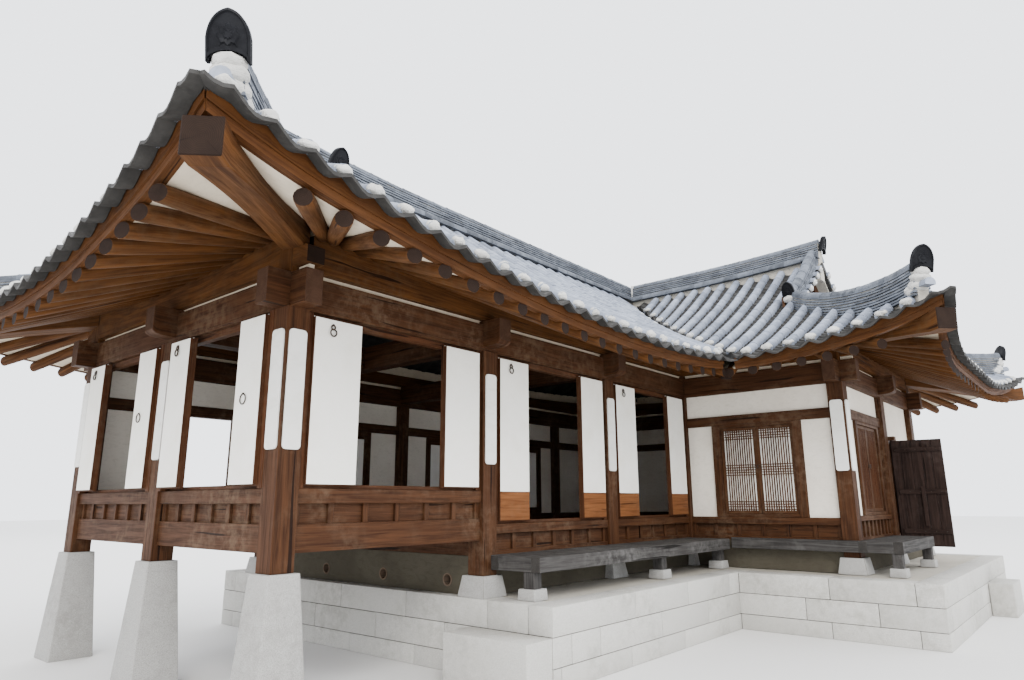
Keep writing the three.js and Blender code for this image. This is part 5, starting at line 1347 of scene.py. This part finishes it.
def place_on_side(side, x, y):
    """The reverse of SIDES: a plan point as u and out of one side."""
    return {"front": (x, -y), "west": (y, -x), "north": (x, y - DEPTH), "east": (y, x - EAST),
            "south": (x, WING_SOUTH - y), "inner": (y, WING_WEST - x)}[side]


def pan_profile(share):
    """Hollow of a row of pan tiles between two cover rows, in millimetres below the rows' seat."""
    return -54 * np.sin(np.pi * np.asarray(share, float)) ** 1.3


def column_lines(side):
    """Every line of the pan tiles' surface along the eave: its u, its share of a column, and its column.

    At a hip the eave ends in half a pan, which makes one saddle with its neighbour round the corner.
    """
    _, start, end, _, _, valley = ROOF[side]
    low, high, last = start - TIP, end + (VALLEY_END if valley else TIP), 0 if valley else CORNER_HALF
    count = round((high - low - CORNER_HALF - last) / PAN_PITCH)
    pitch = (high - low - CORNER_HALF - last) / count
    lines = [(low + CORNER_HALF * (2 * s - 1), s, 0) for s in PAN_LINES[3:]]
    lines += [(low + CORNER_HALF + pitch * (c + s), s, c + 1) for c in range(count) for s in PAN_LINES]
    lines += [(high - last + last * 2 * s, s, count + 1) for s in (PAN_LINES[:4] if last else (0.0,))]
    return [np.array(part) for part in zip(*lines)]


def mitre(side, corner, way, inset):
    """Where along the eave a line that runs inset behind its edge meets the hip's diagonal."""
    u = corner + way * 1600.0
    for _ in range(6):
        u = corner + way * (float(overhang(side, u)) - inset)
    return u


# %% Rows of rafters with their purlins and eave boards
for side, (node, start, end, before, after, valley) in ROOF.items():
    stock, purlin, beam, boards, scallops = Gathered(), [], [], [], []
    rafter_row(stock, side)
    for u in np.linspace(start + before, end + after, 13):
        half, top = (100, purlin_top(side, u) + 10) if start <= u <= end else (85, 3755)
        purlin.append(plate(SIDES[side](u, -half), SIDES[side](u, half), STRIP_TOP, top))
    stock.loft(purlin, 0, 1)
    if side == "front":
        for out in np.linspace(1350, 90, 6):
            x, y, half = WING_WEST - out, -out, 75 * DIAGONAL
            top = float(rafter_height("front", x, out)) - 3
            beam.append(plate((x - half, y + half), (x + half, y - half), top - 150, top))
        stock.loft(beam, 0, 1)
    lines, shares, _ = column_lines(side)
    (begin, top), edge = row_ends(side, lines), overhang(side, lines)
    keep = (edge - 165 > top) & (begin >= edge - 1)
    stations = [(mitre(side, start, -1, 70), mitre(side, start, -1, 154), 0.5)]
    stations += [(u, u, share) for u, share in zip(lines[keep], shares[keep])]
    if not valley:
        stations.append((mitre(side, end, 1, 70), mitre(side, end, 1, 154), 0.5))
    for u, back_u, share in stations:
        edge, back = float(overhang(side, u)), float(overhang(side, back_u))
        board = float(rafter_height(side, u, edge - 70)) + 58
        boards.append(plate(SIDES[side](u, edge - 78), SIDES[side](back_u, back - 150), board - 66, board))
        high = float(tile_height(side, u, edge - 60)) + float(pan_profile(share)) - 12
        scallops.append(plate(SIDES[side](u, edge - 62), SIDES[side](back_u, back - 158), board - 4, high, high + 34))
    stock.loft(boards, 2, 2)
    stock.loft(scallops, 2, 2)
    stock.piece(f"{node}_rafter_logs", [eave_wood, rafter_end, eave_board_wood], sharp=38,
                stands_for=[f"{node}_rafters"])

# %% Corner rafters
for name, (side, corner, inward) in CORNERS.items():
    stock, lower, upper = Gathered(), [], []
    across = DIAGONAL * np.array([-inward[1], inward[0]])
    for share in np.linspace(0, 1, 17):
        t = -1642 + 1622 * share
        spot = np.array(corner) + np.array(inward) * t
        u, out = place_on_side(side, *spot)
        seat = float(rafter_height(side, u, out)) - 70
        low = seat - 248 + 118 * math.sin(math.pi * share ** 0.85) + 30 * max(0, 1 - share / 0.07) ** 2
        lower.append(plate(spot - across * 115, spot + across * 115, low, seat + 20 if share < 0.05 else seat))
        if t > -1560:
            top = float(tile_height(side, u, out)) - 135
            upper.append(plate(spot - across * 88, spot + across * 88, seat - 6, top))
    stock.box(corner[0] - 100, corner[0] + 100, corner[1] - 100, corner[1] + 100, HEADER[1], seat - 200)
    stock.loft(lower, 0, 1)
    stock.loft(upper, 0, 1)
    stock.piece(f"{name}_corner_timbers", [eave_wood, rafter_end], 0.007, stands_for=[f"{name}_corner_rafter"])

# %% Plaster between the rafters
for side in SIDES:
    node, start, end, _, _, valley = ROOF[side]
    stock, sheet = Gathered(), []
    for level in np.linspace(0, 1, 5):
        sheet.append([])
        for share in np.linspace(0, 1, 28):
            out = 1400.0
            for _ in range(8):
                left, right = start - out + 60, end - out if valley else end + out - 60
                u = left + (right - left) * share
                edge = float(overhang(side, u)) - 150
                out = edge + (-15 - edge) * level
            sheet[-1].append(on_side(side, u, out, float(rafter_height(side, u, out)) - 32))
    add_slab(stock, np.array(sheet) + UP * 24, sheet)
    stock.loft([plate(SIDES[side](u, -30), SIDES[side](u, 4), purlin_top(side, u) - 6,
                      float(rafter_height(side, u, 0.0)) - 12) for u in np.linspace(start, end, 13)])
    stock.piece(f"{node}_eave_plaster", [soffit_plaster], sharp=60)

# %% [markdown]
# ## Pan tiles
# Between two rows of cover tiles runs a gutter of wide, shallow tiles, each lying on the one below and
# showing about a hand's width. There are thousands, so they aren't laid one by one: each slope is one
# closed bed whose top is computed, a hollow across each gutter and a small step at every tile's lip.
# The lip at the eave is left thin, which gives the scalloped edge seen from below.

# %% Beds of pan tiles
PAN_STEP, LIP, STEP_HEIGHT = 112.0, 55.0, 20
dice = np.random.default_rng(11)


def weld(points, faces, tones):
    """Joins points that fall together and drops faces that have closed up."""
    joined, back = np.unique(np.round(points, 2), axis=0, return_inverse=True)
    kept, kept_tones = [], []
    for face, tone in zip(back.reshape(-1)[faces], tones):
        loop = [int(v) for i, v in enumerate(face) if v != face[i - 1]]
        if len(set(loop)) == len(loop) >= 3:
            kept.append(loop)
            kept_tones.append(tone)
    return joined, kept, kept_tones


def pan_bed(side):
    """One slope's bed of pan tiles: its points, its faces and their tones."""
    lines, shares, column = column_lines(side)
    begin, top_out = row_ends(side, lines, 130.0)
    free = begin >= overhang(side, lines) - 1
    edge = overhang(side, lines) + np.where(free, LIP, 0)
    begin = np.where(free, edge, begin)
    starts = PAN_STEP * np.arange(int(float((edge - top_out).max()) // PAN_STEP) + 1)
    rows = np.unique([0.0, LIP + 66, LIP + 72, *starts, *starts + PAN_STEP - 1.5])
    settled = dice.uniform(-3.5, 3.5, (column[-1] + 1, len(rows) + 2))
    at_hip = (column == 0) | ((column == column[-1]) & (ROOF[side][-1] is None))
    deeper = np.where(at_hip, 1.5, 1.15)
    hip_line = (top_out > RIDGE_OUT + 1) & (top_out != -VERGE_LINE) & free
    top, bottom = [], []
    for s in rows:
        out = np.clip(edge - s, top_out, begin)
        run = edge - out
        step = STEP_HEIGHT * (1 - np.mod(run + 1e-6, PAN_STEP) / PAN_STEP)
        jog = settled[column, (run // PAN_STEP).astype(int)] * np.sin(np.pi * shares)
        saddle = np.where(hip_line, eased((out - top_out) * DIAGONAL, 40, 150), 1)
        hollow = saddle * deeper * pan_profile(shares) + (1 - saddle) * pan_profile(0.5)
        bed = tile_height(side, lines, out)
        height = bed + hollow + step + jog
        for grid, z in ((top, height), (bottom, np.where(run < LIP + 70, height - 26, bed - 96))):
            x, y = SIDES[side](lines, out)
            grid.append(np.stack([x, y, z], -1))
    points, (upper, lower, rim) = closed_slab(top, bottom)
    tone = dice.uniform(0.15, 0.9, np.shape(top)[:2])[(rows // PAN_STEP).astype(int)[:-1]][:, column[:-1]]
    tones = np.concatenate([tone.reshape(-1), np.full(len(lower) + len(rim), 0.4)])
    return weld(points, np.concatenate([upper, lower, rim]), tones)


for side in SIDES:
    points, faces, tones = pan_bed(side)
    order, node = outwards(points, faces), ROOF[side][0]
    mesh = bpy.data.meshes.new(f"{node}_pan_tiles")
    mesh.from_pydata(metres(points).tolist(), [], [face[::order] for face in faces])
    # the pan finish is darkened as painted shade between the rows of cover tiles
    mesh.materials.append(pan_tile_painted_shade_finish)
    mesh.attributes.new("tone", "FLOAT", "FACE").data.foreach_set("value", tones)
    shaded(mesh, 32)
    hand_over(linked(mesh.name, mesh), pan_tile_painted_shade_finish, stands_for=[f"{node}_roof_slope"])

# %% [markdown]
# ## Rows of cover tiles with Geometry Nodes
# A cover tile is a half-round trough laid upside down over the edges of two gutters. It repeats along
# every row, with small differences in girth and set, which is what instances are for. Points carry
# where each tile starts, which way it runs and how long it is, and the node tree does the rest. The
# same tree lays the caps along the ridges.

# %% One cover tile, one metre long in the making
def trough(name, radius, sides=9):
    """A half-round tile along Y, a touch wider at its lower end, closed underneath."""
    points = [(radius * girth * math.cos(a), y, radius * girth * math.sin(a))
              for y, girth in ((0.0, 1.0), (0.06, 1.0), (0.075, 0.955), (1.03, 0.93))
              for a in np.linspace(math.radians(-18), math.radians(198), sides)]
    faces = [tuple(range(sides))[::-1], tuple(range(3 * sides, 4 * sides))]
    for low in (0, sides, 2 * sides):
        for i in range(sides):
            j = (i + 1) % sides
            faces.append((low + i, low + j, low + sides + j, low + sides + i))
    order = outwards(points, faces)
    mesh = bpy.data.meshes.new(name)
    mesh.from_pydata(points, [], [face[::order] for face in faces])
    shaded(mesh, 42)
    return bpy.data.objects.new(name, mesh)


# %% The tree that lays tiles on points
def tile_nodes(w, given):
    low, high = w.sums("SUBTRACT", given["Girth"], given["Uneven"]), w.plus(given["Girth"], given["Uneven"])
    girth = w.chosen("FLOAT", given["Seed"], {2: low, 3: high})[1]
    tone = w.chosen("FLOAT", w.plus(given["Seed"], 5))[1]
    wobble = w.chosen("FLOAT_VECTOR", given["Seed"], {0: (-0.012, -0.03, -0.012), 1: (0.012, 0.03, 0.012)})[0]
    turn = w.node("FunctionNodeRotateRotation", {0: w.turn("Y", (0, 0, 1)), 1: wobble}, rotation_space="LOCAL")[0]
    size = w.node("ShaderNodeCombineXYZ", {0: girth, 1: w.read("length", "FLOAT"), 2: girth})[0]
    tile = w.node("GeometryNodeObjectInfo", {"Object": given["Tile"]}, transform_space="ORIGINAL")["Geometry"]
    return w.real(w.keep(w.lay(given, tile, turn, size), "tone", tone, "FLOAT", "INSTANCE"))


COVER_PATTERN = trough("cover_tile_pattern", 0.071)
LAY_TILES = geometry_tree("lay_cover_tiles", tile_nodes, Tile="Object", Girth="Float", Uneven="Float", Seed="Int")


class Tiles:
    """Where single tiles begin, which way they run and how long they are, gathered for the tree."""

    def __init__(self):
        self.tiles = []

    def one(self, start, step):
        length = np.linalg.norm(step)
        self.tiles.append((start, step / length, length))
        return start, step / length

    def along(self, path, exposure=0.29):
        """Cuts a path in metres into tiles. Returns where the first begins and its direction."""
        run = travelled(path)
        marks = np.linspace(0, run[-1], max(1, int(round(run[-1] / exposure))) + 1)
        knots = np.stack([np.interp(marks, run, path[:, i]) for i in range(3)], -1)
        return [self.one(start, step) for start, step in zip(knots, np.diff(knots, axis=0))][0]

    def piece(self, name, finish, girth, uneven, seed):
        grown(name, LAY_TILES, self.tiles, ("direction", "length"), finish, Tile=COVER_PATTERN, Girth=girth,
              Uneven=uneven, Seed=seed)


# %% Cover tiles on the slopes, each row stopped with a plug of lime
lime_spots = []
for side in SIDES:
    rows = Tiles()
    lines, shares, _ = column_lines(side)
    for u in lines[shares == 0]:
        begin, top_out = (float(v) for v in row_ends(side, u, 150.0))
        if begin - top_out < 150:
            continue
        hip = 20 if begin - top_out < 230 else 60 if RIDGE_OUT + 1 < top_out and top_out > -VERGE_LINE + 1 else 0
        back = 33 if begin >= overhang(side, u) - 1 else 4
        outs = np.linspace(begin - back, top_out + hip, 24)
        path = metres([on_side(side, u, out, tile_height(side, u, out) - 2) for out in outs])
        place, way = rows.along(path, 0.285)
        size = (0.068 * chance.uniform(0.9, 1.1), 0.05 * chance.uniform(0.75, 1.25), 0.043 * chance.uniform(0.9, 1.1))
        lime_spots.append((place + way * 0.004 + UP * 0.03, way, size))
    rows.piece(f"{ROOF[side][0]}_cover_tiles", cover_tile_finish, 1.0, 0.025, 3)
print("lime plugs waiting", len(lime_spots))

# %% [markdown]
# ## Ridges
# A ridge is a low wall of flat tiles laid in lime and mortar, capped with half-round tiles. Layer lines
# are what the eye reads from the ground, so every flat tile is its own slab, with joints that miss those
# of the layer below, over a narrower core of mortar. Caps and the round course at the foot of the two
# main ridges come from the same Geometry Nodes tree as the rows.

# %% A layered ridge along its stations
HALVES = {
    "main": (lambda a, b: (a, b), "west", "front", "north"),
    "wing": (lambda a, b: (WING_WEST + b, WING_SOUTH + a), "south", "inner", "east"),
}
LAYER, SLAB, CAP_DROP, CROWN_DROP, FLAT_TILE = 37.0, 22.0, 80, 74, 300
RIDGE_START, HIP_TIP = 580, -1420
caps, short_rows = Tiles(), Tiles()


def height_at(side, x, y):
    return float(tile_height(side, *place_on_side(side, x, y)))


def side_height(half, a, b):
    at, _, low, high = HALVES[half]
    return height_at(low if b < MIDDLE_Y else high, *at(a, b))


def end_height(half, a, b):
    at, end, *_ = HALVES[half]
    return height_at(end, *at(a, b))


def layered_ridge(stock, stations, half, layers, roll=False):
    """Stations are (x, y, across x, across y, bottom, top) in millimetres, at even steps of a tile."""
    stations = np.asarray(stations, float)
    places, across, tops = stations[:, :2], stations[:, 2:4], stations[:, 5]
    run = travelled(places)

    def section(station, width, low, high, taper):
        x, y, nx, ny = station[:4]
        wide = np.array([nx, ny, 0]) * width
        return [(x, y, z) + wide * share for share, z in ((-1, low), (1, low), (taper, high), (-taper, high))]

    stock.loft([section(s, half - 17, s[4], s[5] - CAP_DROP - 4, 0.9) for s in stations], 1, 1)
    for layer in range(layers):
        marks = [0.0, *np.arange(150 if layer % 2 else FLAT_TILE, run[-1] - 60, FLAT_TILE), run[-1]]
        for a, b in zip(marks, marks[1:]):
            jog, sag = chance.uniform(-5, 5), chance.uniform(-2.5, 2.5)
            loops = []
            for mark in (a + 1.5, b - 1.5):
                s = [np.interp(mark, run, values) for values in stations.T]
                high = s[5] - CAP_DROP - LAYER * layer + sag
                low = max(high - SLAB, s[4])
                loops.append(section(s, half - 4 + 3.5 * layer + jog, low, max(high, low + 2), 0.97))
            stock.loft(loops, 0, 0, tone=chance.uniform(0.1, 0.9))
    caps.along(metres(np.column_stack([places, tops - CROWN_DROP])))
    for sign in (-1, 1) if roll else ():
        foot = tops - CAP_DROP - LAYER * layers - 52
        caps.along(metres(np.column_stack([places + across * sign * (half + 4), foot])))


def main_stations(half, across, stop):
    stations = []
    for a in np.linspace(RIDGE_START, stop, max(3, int((stop - RIDGE_START) / FLAT_TILE))):
        crest = side_height(half, a, MIDDLE_Y - 1)
        stations.append((*HALVES[half][0](a, MIDDLE_Y), *across, crest - 330,
                         crest + 340 + 90 * float(near(a - RIDGE_START, 2600))))
    return stations


def verge_stations(half, across, mirrored):
    stations = []
    for b in np.linspace(600, MIDDLE_Y - 90, 7):
        side_b = DEPTH - b if mirrored else b
        seat = side_height(half, 700, side_b)
        foot = max(end_height(half, VERGE_LINE, side_b) - 20, seat - 120)
        top = seat + 250 + 60 * float(eased(b, 900, 1900))
        stations.append((*HALVES[half][0](700, side_b), *across[::-1], foot, top))
    return stations


def hip_stations(side, corner, inward, stop):
    """A hip's ridge climbs towards its end tile, as the photographed ones do."""
    stations = []
    for t in np.linspace(HIP_TIP, stop, max(4, int((stop - HIP_TIP) / DIAGONAL / FLAT_TILE))):
        x, y = corner[0] + inward[0] * t, corner[1] + inward[1] * t
        seat, rise = height_at(side, x, y), 215 + 225 * max(0, 1 - (t - HIP_TIP) / 1700)
        stations.append((x, y, -inward[1] * DIAGONAL, inward[0] * DIAGONAL, seat - 95, seat + rise))
    return stations


# %% [markdown]
# ## End tiles
# Each ridge ends at a tall rounded plate of fired clay that keeps rain out of the ridge's core. Real
# ones carry moulded relief. Here it is a generic flower in a raised rim, lofted from the plate's own
# outline, so it stays crisp with few faces. A mass of white lime seats every plate.

# %% An end tile
def foot_arch(width, height):
    return [(width * 0.44 * math.cos(a), height * 0.21 * math.sin(a)) for a in np.linspace(0, math.pi, 9)]


def ogive(width, height):
    """The plate's outline: from its left foot over the crown to its right foot, and back under an arch."""
    points = [(-width / 2, 0), (-width / 2, height * 0.22), (-width / 2, height * 0.45)]
    for t in np.linspace(0.12, 1, 11):
        points.append(((1 - t) ** 2 * -0.5 * width + 2 * t * (1 - t) * -0.42 * width,
                       (1 - t) ** 2 * 0.45 * height + 2 * t * (1 - t) * 0.92 * height + t * t * height))
    return np.array(points + [(-x, y) for x, y in points[-2::-1]] + foot_arch(width, height))


def end_tile(stock, spot, way, width, height, lean):
    """A plate that stands on spot, whose face looks along way, in plan, and leans out by lean radians."""
    way = unit(np.array([*way, 0], float))
    across = np.cross(UP, way)
    up, out = UP * math.cos(lean) + way * math.sin(lean), way * math.cos(lean) - UP * math.sin(lean)
    heart = np.array([0, height * 0.5])
    rays = ogive(width, height) - heart
    angles = np.arctan2(rays[:, 1], rays[:, 0])
    petals = np.stack([np.cos(angles), np.sin(angles)], -1) * (1 + 0.16 * np.cos(8 * angles))[:, None] * width * 0.25

    def placed(p, depth):
        return spot + across * p[0] + up * p[1] + out * depth

    stock.loft([[placed(heart + ray * share, depth) for ray in shape] for shape, share, depth in (
        (rays, 1, -8), (rays, 1, 38), (rays, 0.9, 44), (rays, 0.84, 34), (petals, 1, 34), (petals, 0.82, 42),
        (petals, 0.45, 36), (petals, 0.3, 42))], 2, 2, smooth=True, tone=chance.uniform(0.05, 0.35))
    rim = []
    for p in foot_arch(width * 1.06, height):
        q = (p[0] * 1.01, p[1] + height * 0.075)
        rim.append([placed(c, depth) for c, depth in ((p, 0), (p, 50), (q, 50), (q, 0))])
    stock.loft(rim, 2, 2, tone=0.2)


def hip_end(stock, side, corner, inward):
    """The plate at a hip's foot, the lime that seats it, and a cover tile that sticks out below."""
    x, y = corner[0] + inward[0] * HIP_TIP, corner[1] + inward[1] * HIP_TIP
    seat, diagonal = np.array([x, y, height_at(side, x, y)]), np.array([*inward, 0]) * DIAGONAL
    end_tile(stock, seat + UP * 278, (-inward[0], -inward[1]), 264, 322, 0.27)
    for back, rise, size in ((0, 285, (0.11, 0.075, 0.06)), (20, 215, (0.125, 0.085, 0.07)),
                             (60, 130, (0.12, 0.1, 0.09)), (120, 80, (0.125, 0.12, 0.09))):
        lime_spots.append((metres(seat + UP * rise + diagonal * back), diagonal, size))
    short_rows.one(metres(seat + UP * 112 - diagonal * 140), diagonal * 0.27)


# %% Both main ridges, with the ridges at their gables' edges and the hips that end under them
RIDGE_FINISHES = [ridge_tile_finish, mortar, end_tile_finish]
for half, across, stop, hips, (verge_a, verge_b, rise, *plate_size), limes in (
        ("main", (0, 1), WING_MIDDLE + 130,
         (("north", (0, DEPTH), (1, -1), 680), ("north", (EAST, DEPTH), (-1, -1), 2006)),
         (720, 540, 285, 225, 300, 0.3),
         ((-20, 105, (0.1, 0.07, 0.07)), (-20, 200, (0.095, 0.065, 0.07)), (-20, 290, (0.085, 0.055, 0.05)))),
        ("wing", (1, 0), MIDDLE_Y - 130 - WING_SOUTH, (("east", (EAST, WING_SOUTH), (-1, 1), 680),),
         (700, 600, 120, 190, 260, 0.35), ((18, 95, (0.1, 0.07, 0.06)),))):
    at, ridge = HALVES[half][0], Gathered()
    layered_ridge(ridge, main_stations(half, across, stop), 122, 6, roll=True)
    for mirrored in (False, True):
        layered_ridge(ridge, verge_stations(half, across, mirrored), 100, 5)
    for hip in hips:
        layered_ridge(ridge, hip_stations(*hip), 84, 10)
    seat = np.array([*at(RIDGE_START - 14, MIDDLE_Y), side_height(half, RIDGE_START, MIDDLE_Y - 1)])
    end_tile(ridge, seat + UP * 180, (-across[1], -across[0]), 250, 300, 0.22)
    for sign, b in ((-1, verge_b), (1, DEPTH - verge_b)):
        seat, way = np.array([*at(verge_a, b), side_height(half, verge_a, b)]), sign * np.array([*across, 0])
        end_tile(ridge, seat + UP * rise, way[:2], *plate_size)
        for forwards, height, size in limes:
            lime_spots.append((metres(seat + way * forwards + UP * height), -way, size))
    for side, corner, inward, _ in hips:
        hip_end(ridge, side, corner, inward)
    ridge.piece(f"{half}_ridge_tiles", RIDGE_FINISHES, stands_for=[f"{half}_ridge"], sharp=30)

# %% The two hip ridges on the photographed side
for name in ("southwest", "wing_southwest"):
    side, corner, inward = CORNERS[name]
    hip = Gathered()
    layered_ridge(hip, hip_stations(side, corner, inward, 640), 84, 10)
    hip_end(hip, side, corner, inward)
    hip.piece(f"{name}_hip_tiles", RIDGE_FINISHES, stands_for=[f"{name}_hip_ridge"], sharp=30)

# %% [markdown]
# ## Gables
# Under each raised ridge end stands a small gable. Its wall is upright boards with battens over the
# joints, and a curved board follows the edge of the roof. Short rows of cover tiles point outwards
# over that board, each stopped with lime, to throw rain clear of it.

# %% Boards, bargeboards and the short rows over them
for half, node in (("main", "west_gable"), ("wing", "wing_gable")):
    at, gable = HALVES[half][0], Gathered()

    def gable_bar(a0, a1, b0, b1, tops):
        """An upright board between b0 and b1, whose top slopes between two heights."""
        corners = [(*at(a, b), top) for a, b, top in zip((a0, a1, a1, a0), (b0, b0, b1, b1), np.repeat(tops, 2))]
        gable.loft([[(x, y, foot) for x, y, _ in corners], corners])

    foot = side_height(half, 880, 880) - 370
    edges = np.linspace(880, DEPTH - 880, 17)
    for b0, b1 in zip(edges, edges[1:]):
        gable_bar(824, 852, b0 + 2, b1 - 2, [side_height(half, 840, b) - 92 for b in (b0 + 2, b1 - 2)])
    for b in edges[1:-1]:
        gable_bar(806, 824, b - 19, b + 19, [side_height(half, 840, b) - 110] * 2)
    for sign in (1, -1):
        curve, bed = [], []
        for b in np.linspace(560, MIDDLE_Y, 12):
            side_b = b if sign > 0 else DEPTH - b
            z = side_height(half, 760, min(b, MIDDLE_Y - 1) if sign > 0 else max(DEPTH - b, MIDDLE_Y + 1))
            low = max(z - 330, end_height(half, VERGE_LINE, side_b) + 4)
            curve.append(plate(at(772, side_b), at(812, side_b), low, z - 50))
            bed.append(plate(at(560, side_b), at(824, side_b), z - 66, z + 6))
        gable.loft(curve, 0)
        gable.loft(bed, 1, tone=0.4)
        for b in np.arange(760, MIDDLE_Y - 120, 215):
            side_b = b if sign > 0 else DEPTH - b
            z = side_height(half, 700, side_b) + 12
            start, stop = metres((*at(528, side_b), z - 14)), metres((*at(720, side_b), z + 6))
            _, way = short_rows.one(start, stop - start)
            lime_spots.append((start + way * 0.01 - UP * 0.01, way, (0.058, 0.036, 0.05)))
    gable.piece(f"{node}_boards", [frame_wood, pan_tile_painted_shade_finish], 0.003, stands_for=[node])
caps.piece("ridge_caps", ridge_tile_finish, 1.12, 0.02, 8)
short_rows.piece("verge_cover_tiles", cover_tile_finish, 0.92, 0.03, 5)

# %% [markdown]
# ## Valley
# Where the main roof meets the wing, a line of wide pans runs down the diagonal and both slopes shed
# into it. Their rows stop short of it and end in lime, as at the eaves.

# %% Valley pans
VALLEY_LOW, VALLEY_HIGH, PAN_EDGE = 1450, -1936, ((-165, 40), (-95, 8), (0, -6), (95, 8), (165, 40))
PAN_SECTION = [*PAN_EDGE, *((s, h - 18) for s, h in PAN_EDGE[::-1])]
valley, joint = Gathered(), Gathered()
count = int((VALLEY_LOW - VALLEY_HIGH) / DIAGONAL / 150)
for i in range(count):
    loops = []
    for part, lip in ((-0.25, 15), (1.05, 0)):
        out = VALLEY_LOW + (VALLEY_HIGH - VALLEY_LOW) * (i + part) / count
        x, z = WING_WEST - out, float(tile_height("front", WING_WEST - out, out)) - 66 + lip
        loops.append([(x + s * DIAGONAL, -out - s * DIAGONAL, z + h) for s, h in PAN_SECTION])
    valley.loft(loops, 0, 0, tone=chance.uniform(0.1, 0.9))
valley.piece("valley_pans", [pan_tile_painted_shade_finish], sharp=30)
crest = side_height("wing", 4290, MIDDLE_Y - 1)
joint.box(WING_MIDDLE - 132, WING_MIDDLE + 132, 1912, 1946, crest - 40, crest + 318)
joint.piece("ridge_joint_lime", [lime], 0.012, segments=2)

# %% [markdown]
# ## Lime plugs with Geometry Nodes
# Every row of cover tiles is stopped at its end with a fistful of lime, and no two are alike. A second
# tree puts a small ball on each point, stretches it by that point's size, and pushes its surface in and
# out with noise read at its place on the house, so that each lump comes out different.

# %% The tree that makes lumps of lime
def lime_nodes(w, given):
    ball = w.node("GeometryNodeMeshIcoSphere", {"Radius": 1.0, "Subdivisions": 3})["Mesh"]
    real = w.real(w.lay(given, ball, w.turn("Y", (0, 0, 1)), w.read("size")))
    spot = w.node("GeometryNodeInputPosition")[0]
    noise = w.node("ShaderNodeTexNoise", {"Vector": spot, "Scale": given["Lumps"], "Detail": 3})["Color"]
    push = w.node("ShaderNodeVectorMath", {0: w.vectors("SUBTRACT", noise, (0.5, 0.5, 0.5)),
                                           "Scale": given["Roughness"]}, operation="SCALE")[0]
    moved = w.node("GeometryNodeSetPosition", {"Geometry": real, "Offset": push})["Geometry"]
    return w.node("GeometryNodeSetShadeSmooth", {"Geometry": moved})[0]


LUMPS_OF_LIME = geometry_tree("lumps_of_lime", lime_nodes, Roughness="Float", Lumps="Float")
grown("lime_plugs", LUMPS_OF_LIME, lime_spots, ("direction", "size"), lime, Roughness=0.045, Lumps=19.0)
